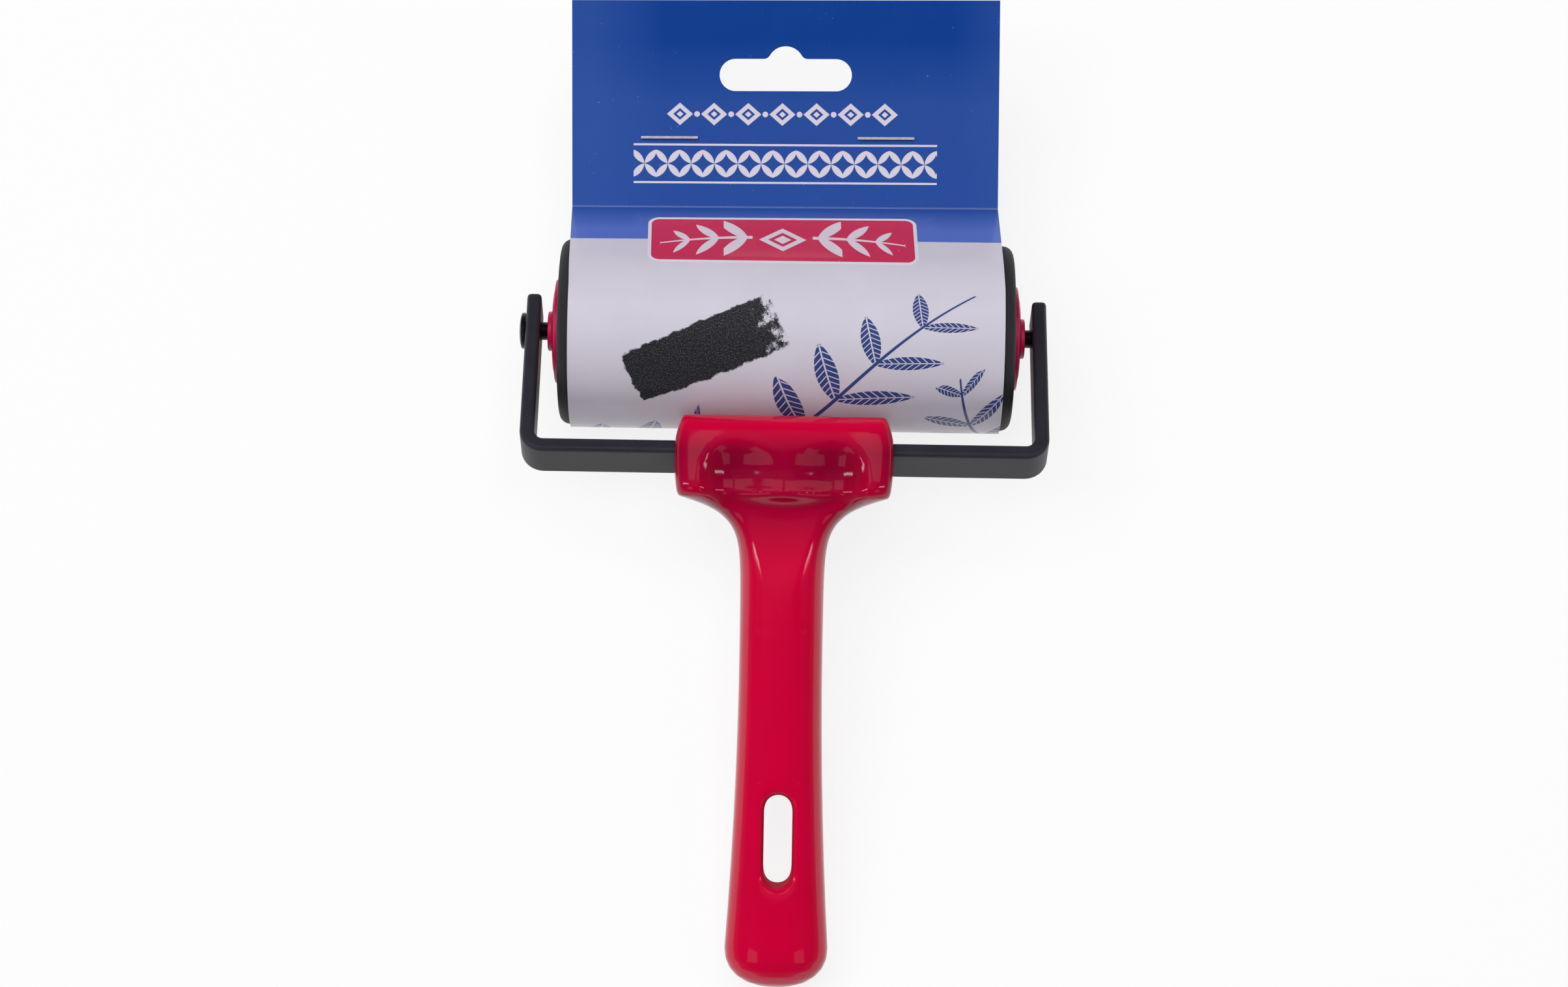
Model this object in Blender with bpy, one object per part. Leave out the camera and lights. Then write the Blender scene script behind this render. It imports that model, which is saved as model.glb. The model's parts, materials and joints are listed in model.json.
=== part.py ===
"""A hand brayer for rolling out printing ink, lying on a bench with its hang card still on.

A soft rubber roller turns on a steel axle between the arms of a bent steel strap. The strap's
crossbar runs through the head of a moulded plastic handle, which leaves the frame at an angle, so
that the tool lies on its roller and on the end of its handle. A folded paper card is wrapped round
the roller and closed above it by two staples. Metres, +Z up, X along the axle, handle towards -Y.
"""

import math

import bmesh
import bpy

# Clearances
SEAT_GAP = 0.0003
RUNNING_GAP = 0.0001

# Roller
RUBBER_LENGTH = 0.100
RUBBER_DIAMETER = 0.041
RUBBER_EDGE_RADIUS = 0.0022
CORE_DIAMETER = 0.020
CORE_WALL = 0.002
HUB_FLANGE_DIAMETER = 0.0230
HUB_FLANGE_RIM = 0.0009
HUB_FLANGE_RISE = 0.0006
HUB_BOSS_DIAMETER = 0.0088
HUB_BOSS_HEIGHT = 0.0011
HUB_SPIGOT_LENGTH = 0.014
HUB_SKIRT_WALL = 0.0015
HUB_BARREL_WALL = 0.0016
HUB_SOFTENING = 0.0003

# Axle
AXLE_DIAMETER = 0.004
AXLE_HEAD_DIAMETER = 0.008
AXLE_HEAD_HEIGHT = 0.0013
AXLE_HEAD_RIM = 0.0006
AXLE_TAIL_RECESS = 0.0002

# Frame strap
STRAP_WIDTH = 0.010
STRAP_THICKNESS = 0.0032
STRAP_EDGE_RADIUS = 0.0009
STRAP_BEND_RADIUS = 0.002
STRAP_TIP_RADIUS = 0.0012
ARM_REACH = 0.0303
ARM_TIP = 0.007
END_PLAY = 0.0016

# Handle: heights are above the strap's middle, lengths along the grip from the strap
HANDLE_CRANK = math.radians(30)
HANDLE_LENGTH = 0.1152
GRIP_NECK_WIDTH = 0.0182
GRIP_END_WIDTH = 0.0226
GRIP_THICKNESS = 0.0156
GRIP_SWELL_START = 0.042
GRIP_END_ROUND = 0.0085
GRIP_SQUARENESS = 2.4
GRIP_END_SQUARENESS = 2.25
HEAD_LEAN = math.radians(15)
HEAD_WIDTH = 0.0480
HEAD_HEIGHT = 0.0176
HEAD_BROW_REACH = 0.0093
HEAD_BROW_RADIUS = 0.0048
HEAD_CHIN_REACH = 0.0067
HEAD_CHIN_RADIUS = 0.0030
HEAD_RUN_ON = 0.030
HEAD_WIDEST = -0.0015
HEAD_BROW_LENGTH = 0.0055
HEAD_CHIN_LENGTH = 0.0106
HEAD_TAPER = 0.0010
HEAD_SQUARENESS = 7.0
SHOULDER_START = 0.0053
SHOULDER_RADIUS = 0.0036
SHOULDER_TURN = math.radians(62)
SHOULDER_BLEND = 0.0016
FLARE_WIDTH = 0.0470
FLARE_LENGTH = 0.0034
FLARE_ROOT = 0.0084
FLARE_CORNER_BLEND = 0.0014
FLARE_UNDERSIDE = 0.0064
NECK_DIP = 0.0010
NECK_DIP_LENGTH = 0.0050
SCOOP_START = 0.0125
SCOOP_END = 0.0272
SCOOP_RADIUS = 0.020
SCOOP_SLOPE = math.radians(9.5)
SCOOP_LIP_RADIUS = 0.0030
SCOOP_BOW_RADIUS = 0.030
DISH_MIDDLE = 0.0027
DISH_FLOOR = 0.0060
DISH_FRONT_RADIUS = 0.0091
DISH_BACK_RADIUS = 0.0100
DISH_SIDE_RADIUS = 0.0068
DISH_EDGE_BLEND = 0.0014
RIDGE_BLEND = 0.0004
DIMPLE_SPREAD = 0.0214
DIMPLE_RIB = 0.0020
SLOT_LENGTH = 0.0205
SLOT_WIDTH = 0.0062
SLOT_TO_END = 0.0220
SLOT_RIM_RADIUS = 0.0007

# Hang card
CARD_WIDTH = 0.095
CARD_THICKNESS = 0.0004
CARD_LIFT = math.radians(18.5)
CREASE_REACH = 0.0280
CREASE_DROP = 0.0060
FRONT_LAYER = 0.046
BACK_LAYER = 0.021
HOLE_WIDTH = 0.0294
HOLE_HEIGHT = 0.0075
HOLE_BUMP_DIAMETER = 0.0092
HOLE_BUMP_RISE = 0.0030
HOLE_TO_CREASE = 0.0297

# Staples
STAPLE_CROWN = 0.0127
STAPLE_WIRE = 0.0006
STAPLE_CLINCH = 0.0048
STAPLE_SPACING = 0.0482
STAPLE_OFFSET = -0.0017
STAPLE_TO_CREASE = 0.0156

# Facets
ROUND_SEGMENTS = 64
SMALL_SEGMENTS = 32
HOLE_SEGMENTS = 24
EDGE_STEPS = 5
STRAP_EDGE_STEPS = 2
STRAP_BEND_STEPS = 6
SLOT_END_STEPS = 8
SLOT_RIM_STEPS = 3
TOP_STEPS = 32
UNDER_STEPS = 16
HEAD_STEPS = 28
HEAD_SIDE_STEPS = 40
FLARE_STEPS = 8
SCOOP_STEPS = 7
BODY_STEPS = 8
END_STEPS = 6
CARD_ARC_STEP = math.radians(6)
SMOOTH_ANGLE = math.radians(35)

# Sizes that follow from the ones above
HUB_REACH = RUBBER_LENGTH / 2 + SEAT_GAP + HUB_FLANGE_RIM + HUB_FLANGE_RISE + HUB_BOSS_HEIGHT
ARM_INNER = HUB_REACH + END_PLAY
ARM_OUTER = ARM_INNER + STRAP_THICKNESS
CROSSBAR_REACH = ARM_REACH + STRAP_THICKNESS / 2
CARD_RADIUS = RUBBER_DIAMETER / 2 + SEAT_GAP + CARD_THICKNESS / 2
ROLLING_RADIUS = CARD_RADIUS + CARD_THICKNESS / 2
LAYER_OFFSET = (CARD_THICKNESS + SEAT_GAP) / 2
HEADER_FACE = LAYER_OFFSET + CARD_THICKNESS / 2
SLOT_CENTRE = HANDLE_LENGTH - SLOT_TO_END - SLOT_LENGTH / 2


# Making objects


def clear_scene():
    """Removes whatever the file held before."""
    for old in list(bpy.data.objects):
        bpy.data.objects.remove(old)


def make_material(name, colour, roughness, metallic=0.0):
    """A plain Principled finish."""
    material = bpy.data.materials.new(name)
    material.use_nodes = True
    shader = material.node_tree.nodes["Principled BSDF"]
    shader.inputs["Base Color"].default_value = (*colour, 1.0)
    shader.inputs["Roughness"].default_value = roughness
    shader.inputs["Metallic"].default_value = metallic
    return material


def make_empty(name, parent=None, location=(0, 0, 0), turn_x=0.0):
    """An empty that carries pieces, turned about X."""
    empty = bpy.data.objects.new(name, None)
    bpy.context.scene.collection.objects.link(empty)
    empty.parent = parent
    empty.location = location
    empty.rotation_euler = (turn_x, 0, 0)
    return empty


def make_object(name, shape, parent, material=None):
    """Turns a bmesh into a smooth-shaded object. Without a material it is a hidden cutter."""
    bmesh.ops.recalc_face_normals(shape, faces=shape.faces[:])
    mesh = bpy.data.meshes.new(name)
    shape.to_mesh(mesh)
    shape.free()
    mesh.shade_smooth()
    mesh.set_sharp_from_angle(angle=SMOOTH_ANGLE)
    piece = bpy.data.objects.new(name, mesh)
    bpy.context.scene.collection.objects.link(piece)
    piece.parent = parent
    if material is None:
        piece.hide_render = True
        piece.display_type = "WIRE"
    else:
        mesh.materials.append(material)
    return piece


def combine(piece, other, operation):
    """Joins or cuts a piece with another object by an exact Boolean."""
    boolean = piece.modifiers.new(other.name, "BOOLEAN")
    boolean.operation = operation
    boolean.object = other


# Shapes


def turned(profile, segments, closed=True):
    """Spins (x, radius) points about X. An open profile starts and ends on the axis."""
    shape = bmesh.new()
    points = [shape.verts.new((x, 0, radius)) for x, radius in profile]
    pairs = list(zip(points, points[1:]))
    if closed:
        pairs.append((points[-1], points[0]))
    edges = [shape.edges.new(pair) for pair in pairs]
    whole_turn = 2 * math.pi
    spun = points + edges
    bmesh.ops.spin(shape, geom=spun, axis=(1, 0, 0), angle=whole_turn, steps=segments, use_merge=True)
    bmesh.ops.remove_doubles(shape, verts=shape.verts[:], dist=1e-7)
    return shape


def lofted(rings):
    """Skins closed rings of equally many points and caps both ends."""
    shape = bmesh.new()
    loops = [[shape.verts.new(point) for point in ring] for ring in rings]
    count = len(loops[0])
    for ring, following in zip(loops, loops[1:]):
        for i in range(count):
            j = (i + 1) % count
            shape.faces.new((ring[i], ring[j], following[j], following[i]))
    shape.faces.new(loops[0])
    shape.faces.new(loops[-1])
    return shape


def arc(centre, radius, start, end, steps):
    """Points on an arc, both ends included, as (u, v)."""
    angles = [start + (end - start) * i / steps for i in range(steps + 1)]
    return [(centre[0] + radius * math.cos(a), centre[1] + radius * math.sin(a)) for a in angles]


def rounded_rectangle(width, height, radius, steps):
    """A rectangle's outline about the origin with round corners, as (u, v)."""
    outline = []
    for quarter, (sign_u, sign_v) in enumerate(((1, 1), (-1, 1), (-1, -1), (1, -1))):
        centre = (sign_u * (width / 2 - radius), sign_v * (height / 2 - radius))
        start = quarter * math.pi / 2
        outline += arc(centre, radius, start, start + math.pi / 2, steps)
    return outline


def stadium(length, width, steps):
    """A slot's outline about the origin, its length along v, as (u, v)."""
    straight = (length - width) / 2
    upper = arc((0, straight), width / 2, 0, math.pi, steps)
    lower = arc((0, -straight), width / 2, math.pi, 2 * math.pi, steps)
    return upper + lower


def thick_strip(path, thickness):
    """The outline of a bent strip of even thickness along an open path, as (u, v)."""
    directions = []
    for (u0, v0), (u1, v1) in zip(path, path[1:]):
        length = math.hypot(u1 - u0, v1 - v0)
        directions.append(((u1 - u0) / length, (v1 - v0) / length))
    left, right = [], []
    for i, (u, v) in enumerate(path):
        before = directions[max(i - 1, 0)]
        after = directions[min(i, len(directions) - 1)]
        mitre = thickness / 2 / (1 + before[0] * after[0] + before[1] * after[1])
        across = (-(before[1] + after[1]) * mitre, (before[0] + after[0]) * mitre)
        left.append((u + across[0], v + across[1]))
        right.append((u - across[0], v - across[1]))
    return left + right[::-1]


def bulge(across, squareness):
    """Height of a superellipse of half axes 1, from 1 at its middle to 0 at its sides."""
    return max(1 - abs(across) ** squareness, 0.0) ** (1 / squareness)


def smooth_minimum(first, second, blend):
    """The smaller of two heights, rounded over where they meet."""
    overlap = max(blend - abs(first - second), 0.0) / blend
    return min(first, second) - overlap * overlap * blend / 4


def smooth_maximum(first, second, blend):
    """The larger of two heights, filleted where they meet."""
    return -smooth_minimum(-first, -second, blend)


def rounded_slope(beyond, radius, turn):
    """Height gained past a level start: on a circle up to a slope, then straight on."""
    curved = min(beyond, radius * math.sin(turn))
    return radius - math.sqrt(radius**2 - curved**2) + (beyond - curved) * math.tan(turn)


# Roller


def build_rubber(parent, material):
    """The soft rubber sleeve, its outer edges rounded."""
    half = RUBBER_LENGTH / 2
    outer = RUBBER_DIAMETER / 2
    bore = CORE_DIAMETER / 2 + SEAT_GAP
    edge = RUBBER_EDGE_RADIUS
    left = arc((edge - half, outer - edge), edge, math.pi, math.pi / 2, EDGE_STEPS)
    right = arc((half - edge, outer - edge), edge, math.pi / 2, 0, EDGE_STEPS)
    profile = [(half, bore), (-half, bore)] + left + right
    make_object("roller_rubber", turned(profile, ROUND_SEGMENTS), parent, material)


def build_core(parent, material):
    """The stiff tube inside the rubber."""
    half = RUBBER_LENGTH / 2
    outer = CORE_DIAMETER / 2
    bore = outer - CORE_WALL
    profile = [(-half, outer), (half, outer), (half, bore), (-half, bore)]
    make_object("roller_core", turned(profile, ROUND_SEGMENTS), parent, material)


def build_hub(name, side, parent, material):
    """A moulded end hub: a domed flange and boss, a skirt in the core and a barrel on the axle."""
    seat = RUBBER_LENGTH / 2 + SEAT_GAP
    rim = seat + HUB_FLANGE_RIM
    face = rim + HUB_FLANGE_RISE
    inner_end = RUBBER_LENGTH / 2 - HUB_SPIGOT_LENGTH
    flange = HUB_FLANGE_DIAMETER / 2
    boss = HUB_BOSS_DIAMETER / 2
    bore = AXLE_DIAMETER / 2 + RUNNING_GAP
    barrel = bore + HUB_BARREL_WALL
    skirt = CORE_DIAMETER / 2 - CORE_WALL - SEAT_GAP
    hollow = skirt - HUB_SKIRT_WALL
    profile = [
        (HUB_REACH, bore),
        (HUB_REACH, boss - HUB_SOFTENING),
        (HUB_REACH - HUB_SOFTENING, boss),
        (face, boss),
        (rim, flange - HUB_SOFTENING),
        (rim - HUB_SOFTENING, flange),
        (seat, flange),
        (seat, skirt),
        (inner_end, skirt),
        (inner_end, hollow),
        (seat, hollow),
        (seat, barrel),
        (inner_end, barrel),
        (inner_end, bore),
    ]
    sided = [(side * x, radius) for x, radius in profile]
    make_object(name, turned(sided, SMALL_SEGMENTS), parent, material)


# Axle and frame


def build_axle(parent, material):
    """A steel rod with a domed button head outside the left arm, its tail flush in the right arm."""
    radius = AXLE_DIAMETER / 2
    head = AXLE_HEAD_DIAMETER / 2
    under = -ARM_OUTER - SEAT_GAP
    tail = ARM_OUTER - AXLE_TAIL_RECESS
    dome = []
    for i in range(EDGE_STEPS + 1):
        turn = math.pi / 2 * i / EDGE_STEPS
        rise = (AXLE_HEAD_HEIGHT - AXLE_HEAD_RIM) * math.cos(turn)
        dome.append((under - AXLE_HEAD_RIM - rise, head * math.sin(turn)))
    profile = dome + [(under, head), (under, radius), (tail, radius), (tail, 0)]
    make_object("axle", turned(profile, SMALL_SEGMENTS, closed=False), parent, material)


def strap_path():
    """The strap's centre line as (x, y, outward x, outward y), from the left tip to the right tip."""
    side = ARM_INNER + STRAP_THICKNESS / 2
    bend = STRAP_BEND_RADIUS + STRAP_THICKNESS / 2
    right = [(side, ARM_TIP, 1, 0), (side, ARM_TIP - STRAP_TIP_RADIUS, 1, 0)]
    for i in range(STRAP_BEND_STEPS + 1):
        angle = math.pi / 2 * i / STRAP_BEND_STEPS
        out_x = math.cos(angle)
        out_y = -math.sin(angle)
        x = side - bend + bend * out_x
        y = bend - CROSSBAR_REACH + bend * out_y
        right.append((x, y, out_x, out_y))
    left = [(-x, y, -out_x, out_y) for x, y, out_x, out_y in right]
    return left + right[::-1]


def build_frame(parent, material):
    """The bent steel strap with round edges, chamfered tips and a hole for the axle in each arm."""
    section = rounded_rectangle(STRAP_THICKNESS, STRAP_WIDTH, STRAP_EDGE_RADIUS, STRAP_EDGE_STEPS)
    path = strap_path()
    tip_share = 1 - 2 * STRAP_TIP_RADIUS / STRAP_WIDTH
    rings = []
    for x, y, out_x, out_y in path:
        share = tip_share if y == ARM_TIP else 1.0
        rings.append([(x + out_x * u, y + out_y * u, v * share) for u, v in section])
    frame = make_object("frame", lofted(rings), parent, material)
    reach = ARM_OUTER + STRAP_THICKNESS
    hole = AXLE_DIAMETER / 2 + SEAT_GAP
    drill = [(-reach, 0), (-reach, hole), (reach, hole), (reach, 0)]
    cutter = make_object("axle_drill", turned(drill, SMALL_SEGMENTS, closed=False), parent)
    combine(frame, cutter, "DIFFERENCE")


# Handle: the grip runs along -Y from the crossbar's centre, with +Z out of the thumb side


def grip_end_share(along):
    """1 along the grip, falling to 0 on a round curve at its end."""
    into_end = max(along - HANDLE_LENGTH + GRIP_END_ROUND, 0.0) / GRIP_END_ROUND
    return bulge(into_end, GRIP_END_SQUARENESS)


def half_width(along):
    """Half the handle's width: the head, the flare behind it, the slim neck and the swelling grip."""
    from_widest = along - HEAD_WIDEST
    length = HEAD_BROW_LENGTH if from_widest < 0 else HEAD_CHIN_LENGTH
    head = HEAD_WIDTH / 2 - HEAD_TAPER * min(from_widest / length, 1.0) ** 2
    swell_length = HANDLE_LENGTH - GRIP_END_ROUND - GRIP_SWELL_START
    into_swell = min(max(along - GRIP_SWELL_START, 0.0) / swell_length, 1.0)
    swell = (GRIP_END_WIDTH - GRIP_NECK_WIDTH) * into_swell**2
    flare = (FLARE_WIDTH - GRIP_NECK_WIDTH) * math.exp((FLARE_ROOT - along) / FLARE_LENGTH)
    grip = (GRIP_NECK_WIDTH + swell + flare) / 2
    return smooth_minimum(head, grip, FLARE_CORNER_BLEND) * grip_end_share(along)


def spread(along):
    """1 where the handle is as wide as its head, 0 where it is as slim as its neck."""
    share = (2 * half_width(along) - GRIP_NECK_WIDTH) / (HEAD_WIDTH - GRIP_NECK_WIDTH)
    return min(max(share, 0.0), 1.0) if along < GRIP_SWELL_START else 0.0


def grip_underside(along):
    """Depth of the grip below its middle: thinner where the flare spreads."""
    tube = GRIP_THICKNESS / 2
    return (tube - (tube - FLARE_UNDERSIDE) * spread(along)) * grip_end_share(along)


def head_corners():
    """The round corners of the head's side view, as (along, height, radius), on its leaning faces."""
    corners = []
    for along, side, radius in (
        (HEAD_BROW_RADIUS - HEAD_BROW_REACH, 1, HEAD_BROW_RADIUS),
        (HEAD_RUN_ON, 1, HEAD_CHIN_RADIUS),
        (HEAD_RUN_ON, -1, HEAD_CHIN_RADIUS),
        (HEAD_CHIN_RADIUS - HEAD_CHIN_REACH, -1, HEAD_CHIN_RADIUS),
    ):
        offset = side * (HEAD_HEIGHT / 2 - radius)
        corners.append((along, (offset + along * math.sin(HEAD_LEAN)) / math.cos(HEAD_LEAN), radius))
    return corners


def head_span(along):
    """The lowest and the highest level of the head's leaning block at a place along the handle."""
    corners = head_corners()
    levels = []
    for corner, following in zip(corners, corners[1:] + corners[:1]):
        for i in range(HEAD_SIDE_STEPS):
            share = i / HEAD_SIDE_STEPS
            middle, level, radius = [a + (b - a) * share for a, b in zip(corner, following)]
            if abs(along - middle) < radius:
                rise = math.sqrt(radius**2 - (along - middle) ** 2)
                levels += [level - rise, level + rise]
    return min(levels), max(levels)


def handle_profile(along):
    """The lowest and the highest level of the handle at a place along it, before it is dished."""
    dip = NECK_DIP * math.exp(-(((along - FLARE_ROOT) / NECK_DIP_LENGTH) ** 2))
    crown = GRIP_THICKNESS / 2 * grip_end_share(along) - dip
    keel = -grip_underside(along)
    if along > HEAD_RUN_ON / 2:
        return keel, crown
    low, high = head_span(along)
    beyond = max(along - SHOULDER_START, 0.0)
    shoulder = high - rounded_slope(beyond, SHOULDER_RADIUS, SHOULDER_TURN)
    if along < 0:
        return low, shoulder
    return min(low, keel), smooth_maximum(shoulder, crown, SHOULDER_BLEND)


def scoop_height(beyond):
    """Height of the scoop past its lowest place, or of its rise to the head before it."""
    floor = GRIP_THICKNESS / 2 - rounded_slope(SCOOP_END - SCOOP_START, SCOOP_RADIUS, SCOOP_SLOPE)
    if beyond < 0:
        return floor + beyond**2 / (2 * SCOOP_LIP_RADIUS)
    return floor + rounded_slope(beyond, SCOOP_RADIUS, SCOOP_SLOPE)


def hollow_height(x, along):
    """Height of the hollows in the thumb side: two dimples with a rib between them, and the scoop."""
    half = DIMPLE_SPREAD / 2
    inside = min(abs(x), half)
    side = (abs(x) - inside) ** 2 / (2 * DISH_SIDE_RADIUS)
    rib = DIMPLE_RIB * (1 + math.cos(math.pi * inside / half)) / 2
    radius = DISH_FRONT_RADIUS if along < DISH_MIDDLE else DISH_BACK_RADIUS
    dish = DISH_FLOOR + (along - DISH_MIDDLE) ** 2 / (2 * radius) + rib
    scoop = scoop_height(along - SCOOP_START + inside**2 / (2 * SCOOP_BOW_RADIUS))
    return smooth_minimum(dish, scoop, DISH_EDGE_BLEND) + side


def handle_levels(x, along):
    """The levels of the handle's underside and of its thumb side at one place."""
    squareness = GRIP_SQUARENESS + (HEAD_SQUARENESS - GRIP_SQUARENESS) * spread(along) ** 2
    share = bulge(x / half_width(along), squareness)
    keel, crown = handle_profile(along)
    middle = (keel + crown) / 2
    under, top = [middle + (level - middle) * share for level in (keel, crown)]
    blend = RIDGE_BLEND + (DISH_EDGE_BLEND - RIDGE_BLEND) * spread(along)
    return under, smooth_minimum(top, hollow_height(x, along), blend)


def handle_ring(along):
    """One section of the handle, its thumb side from left to right and its underside back."""
    ring = []
    for i in range(TOP_STEPS + 1):
        x = -half_width(along) * math.cos(math.pi * i / TOP_STEPS)
        ring.append((x, -along, handle_levels(x, along)[1]))
    for i in range(1, UNDER_STEPS):
        x = half_width(along) * math.cos(math.pi * i / UNDER_STEPS)
        ring.append((x, -along, handle_levels(x, along)[0]))
    return ring


def spaced(start, end, steps):
    """Evenly spaced places after a start, up to an end."""
    return [start + (end - start) * i / steps for i in range(1, steps + 1)]


def handle_stations():
    """Where the handle's sections lie, close together in the head, the flare and the round end."""
    brow = min(along - radius for along, level, radius in head_corners())
    speck = HANDLE_LENGTH / 1e5
    head = [brow + speck]
    for i in range(1, HEAD_STEPS + 1):
        head.append(brow + (SCOOP_START - brow) * (1 - math.cos(math.pi * i / HEAD_STEPS)) / 2)
    flare_end = SCOOP_START + 3 * FLARE_LENGTH
    round_start = HANDLE_LENGTH - GRIP_END_ROUND
    flare = spaced(SCOOP_START, flare_end, FLARE_STEPS)
    scoop = spaced(flare_end, SCOOP_END + FLARE_LENGTH, SCOOP_STEPS)
    body = spaced(SCOOP_END + FLARE_LENGTH, round_start, BODY_STEPS)
    turns = spaced(0, math.pi / 2, END_STEPS)[:-1]
    end = [round_start + GRIP_END_ROUND * math.sin(turn) for turn in turns]
    return head + flare + scoop + body + end + [HANDLE_LENGTH - speck]


def slot_rings():
    """The hang slot through the grip, opening out at both faces over a round rim."""
    face = GRIP_THICKNESS / 2
    above = face + SLOT_RIM_RADIUS
    levels = [(above, 2 * SLOT_RIM_RADIUS)]
    for i in range(SLOT_RIM_STEPS + 1):
        angle = math.pi / 2 * i / SLOT_RIM_STEPS
        level = face - SLOT_RIM_RADIUS * math.sin(angle)
        levels.append((level, 2 * SLOT_RIM_RADIUS * (1 - math.sin(angle))))
    levels += [(-level, growth) for level, growth in levels[::-1]]
    rings = []
    for level, growth in levels:
        outline = stadium(SLOT_LENGTH + growth, SLOT_WIDTH + growth, SLOT_END_STEPS)
        rings.append([(u, v, level) for u, v in outline])
    return rings


def channel_rings():
    """The strap's channel through the head: the strap's own section with clearance."""
    depth = STRAP_THICKNESS + 2 * SEAT_GAP
    width = STRAP_WIDTH + 2 * SEAT_GAP
    section = rounded_rectangle(depth, width, STRAP_EDGE_RADIUS + SEAT_GAP, STRAP_EDGE_STEPS)
    reach = HEAD_WIDTH / 2 + STRAP_THICKNESS
    return [[(x, u, v) for u, v in section] for x in (-reach, reach)]


def build_handle(frame_carrier, material):
    """The moulded handle: grip and dished head in one, channelled for the strap and slotted."""
    crossbar = (0, -CROSSBAR_REACH, 0)
    carrier = make_empty("handle_carrier", frame_carrier, crossbar, HANDLE_CRANK)
    sections = [handle_ring(along) for along in handle_stations()]
    handle = make_object("handle", lofted(sections), carrier, material)
    channel = make_object("strap_channel", lofted(channel_rings()), frame_carrier)
    channel.location = crossbar
    combine(handle, channel, "DIFFERENCE")
    slot = make_object("slot_cutter", lofted(slot_rings()), carrier)
    slot.location = (0, -SLOT_CENTRE, 0)
    combine(handle, slot, "DIFFERENCE")


def resting_turn():
    """How far the frame turns about the axle for the grip's end to lie level with the roller."""
    underside = [(-along, -grip_underside(along)) for along in handle_stations() if along > 0]

    def lowest(turn):
        lean = HANDLE_CRANK + turn
        carrier = -CROSSBAR_REACH * math.sin(turn)
        return min(carrier + y * math.sin(lean) + z * math.cos(lean) for y, z in underside)

    raised = -math.pi / 2
    lowered = math.pi / 4
    for _ in range(40):
        middle = (raised + lowered) / 2
        if lowest(middle) > -ROLLING_RADIUS:
            raised = middle
        else:
            lowered = middle
    return lowered


# Hang card: the header runs along +Y of the card's own frame, below the axle


def card_path():
    """The card's middle line as (y, z): front layer, crease, round the roller, crease, back layer."""
    front = LAYER_OFFSET - CREASE_DROP
    back = -LAYER_OFFSET - CREASE_DROP
    start = math.atan2(front, CREASE_REACH) + math.acos(CARD_RADIUS / math.hypot(CREASE_REACH, front))
    end = math.atan2(back, CREASE_REACH) - math.acos(CARD_RADIUS / math.hypot(CREASE_REACH, back))
    end += 2 * math.pi
    wrap = arc((0, 0), CARD_RADIUS, start, end, math.ceil((end - start) / CARD_ARC_STEP))
    front_layer = [(CREASE_REACH + FRONT_LAYER, front), (CREASE_REACH, front)]
    back_layer = [(CREASE_REACH, back), (CREASE_REACH + BACK_LAYER, back)]
    return front_layer + wrap + back_layer


def peg_hole_cutters(header):
    """The wide hole in the front layer that takes a shop peg: a slot with a round bump above it."""
    depth = (-2 * HEADER_FACE, 2 * HEADER_FACE)
    outline = [(-v, HOLE_TO_CREASE + u) for u, v in stadium(HOLE_WIDTH, HOLE_HEIGHT, SLOT_END_STEPS)]
    slot = lofted([[(x, y, z) for x, y in outline] for z in depth])
    bump_middle = HOLE_TO_CREASE + (HOLE_HEIGHT - HOLE_BUMP_DIAMETER) / 2 + HOLE_BUMP_RISE
    round_outline = arc((0, bump_middle), HOLE_BUMP_DIAMETER / 2, 0, 2 * math.pi, HOLE_SEGMENTS)[:-1]
    bump = lofted([[(x, y, z) for x, y in round_outline] for z in depth])
    return [make_object("peg_slot", slot, header), make_object("peg_bump", bump, header)]


def staple_places():
    """The two staples' names and middles along X."""
    half = STAPLE_SPACING / 2
    return (("left_staple", STAPLE_OFFSET - half), ("right_staple", STAPLE_OFFSET + half))


def leg_hole_cutter(header, name, middle):
    """A square hole through both layers of the header for one leg of a staple."""
    half = STAPLE_WIRE / 2 + SEAT_GAP
    square = [(-half, -half), (half, -half), (half, half), (-half, half)]
    rings = []
    for z in (-2 * HEADER_FACE, 2 * HEADER_FACE):
        rings.append([(middle + x, STAPLE_TO_CREASE + y, z) for x, y in square])
    return make_object(name, lofted(rings), header)


def build_card(parent, header, material):
    """The paper card, one folded strip with a peg hole and a pair of holes for each staple."""
    outline = thick_strip(card_path(), CARD_THICKNESS)
    sides = (-CARD_WIDTH / 2, CARD_WIDTH / 2)
    shape = lofted([[(x, y, z) for y, z in outline] for x in sides])
    card = make_object("hang_card", shape, parent, material)
    for cutter in peg_hole_cutters(header):
        combine(card, cutter, "DIFFERENCE")
    leg = (STAPLE_CROWN - STAPLE_WIRE) / 2
    for name, middle in staple_places():
        for side in (-1, 1):
            cutter = leg_hole_cutter(header, f"{name}_hole", middle + side * leg)
            combine(card, cutter, "DIFFERENCE")


def build_staples(header, material):
    """Wire staples: a crown in front, two legs through the card and their ends clinched behind."""
    leg = (STAPLE_CROWN - STAPLE_WIRE) / 2
    level = HEADER_FACE + SEAT_GAP + STAPLE_WIRE / 2
    half_path = [(leg, level), (leg, -level), (leg - STAPLE_CLINCH, -level)]
    path = [(-x, z) for x, z in half_path[::-1]] + half_path
    outline = thick_strip(path, STAPLE_WIRE)
    sides = (-STAPLE_WIRE / 2, STAPLE_WIRE / 2)
    for name, middle in staple_places():
        shape = lofted([[(x, y, z) for x, z in outline] for y in sides])
        staple = make_object(name, shape, header, material)
        staple.location = (middle, STAPLE_TO_CREASE, 0)


# Assembly


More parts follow.
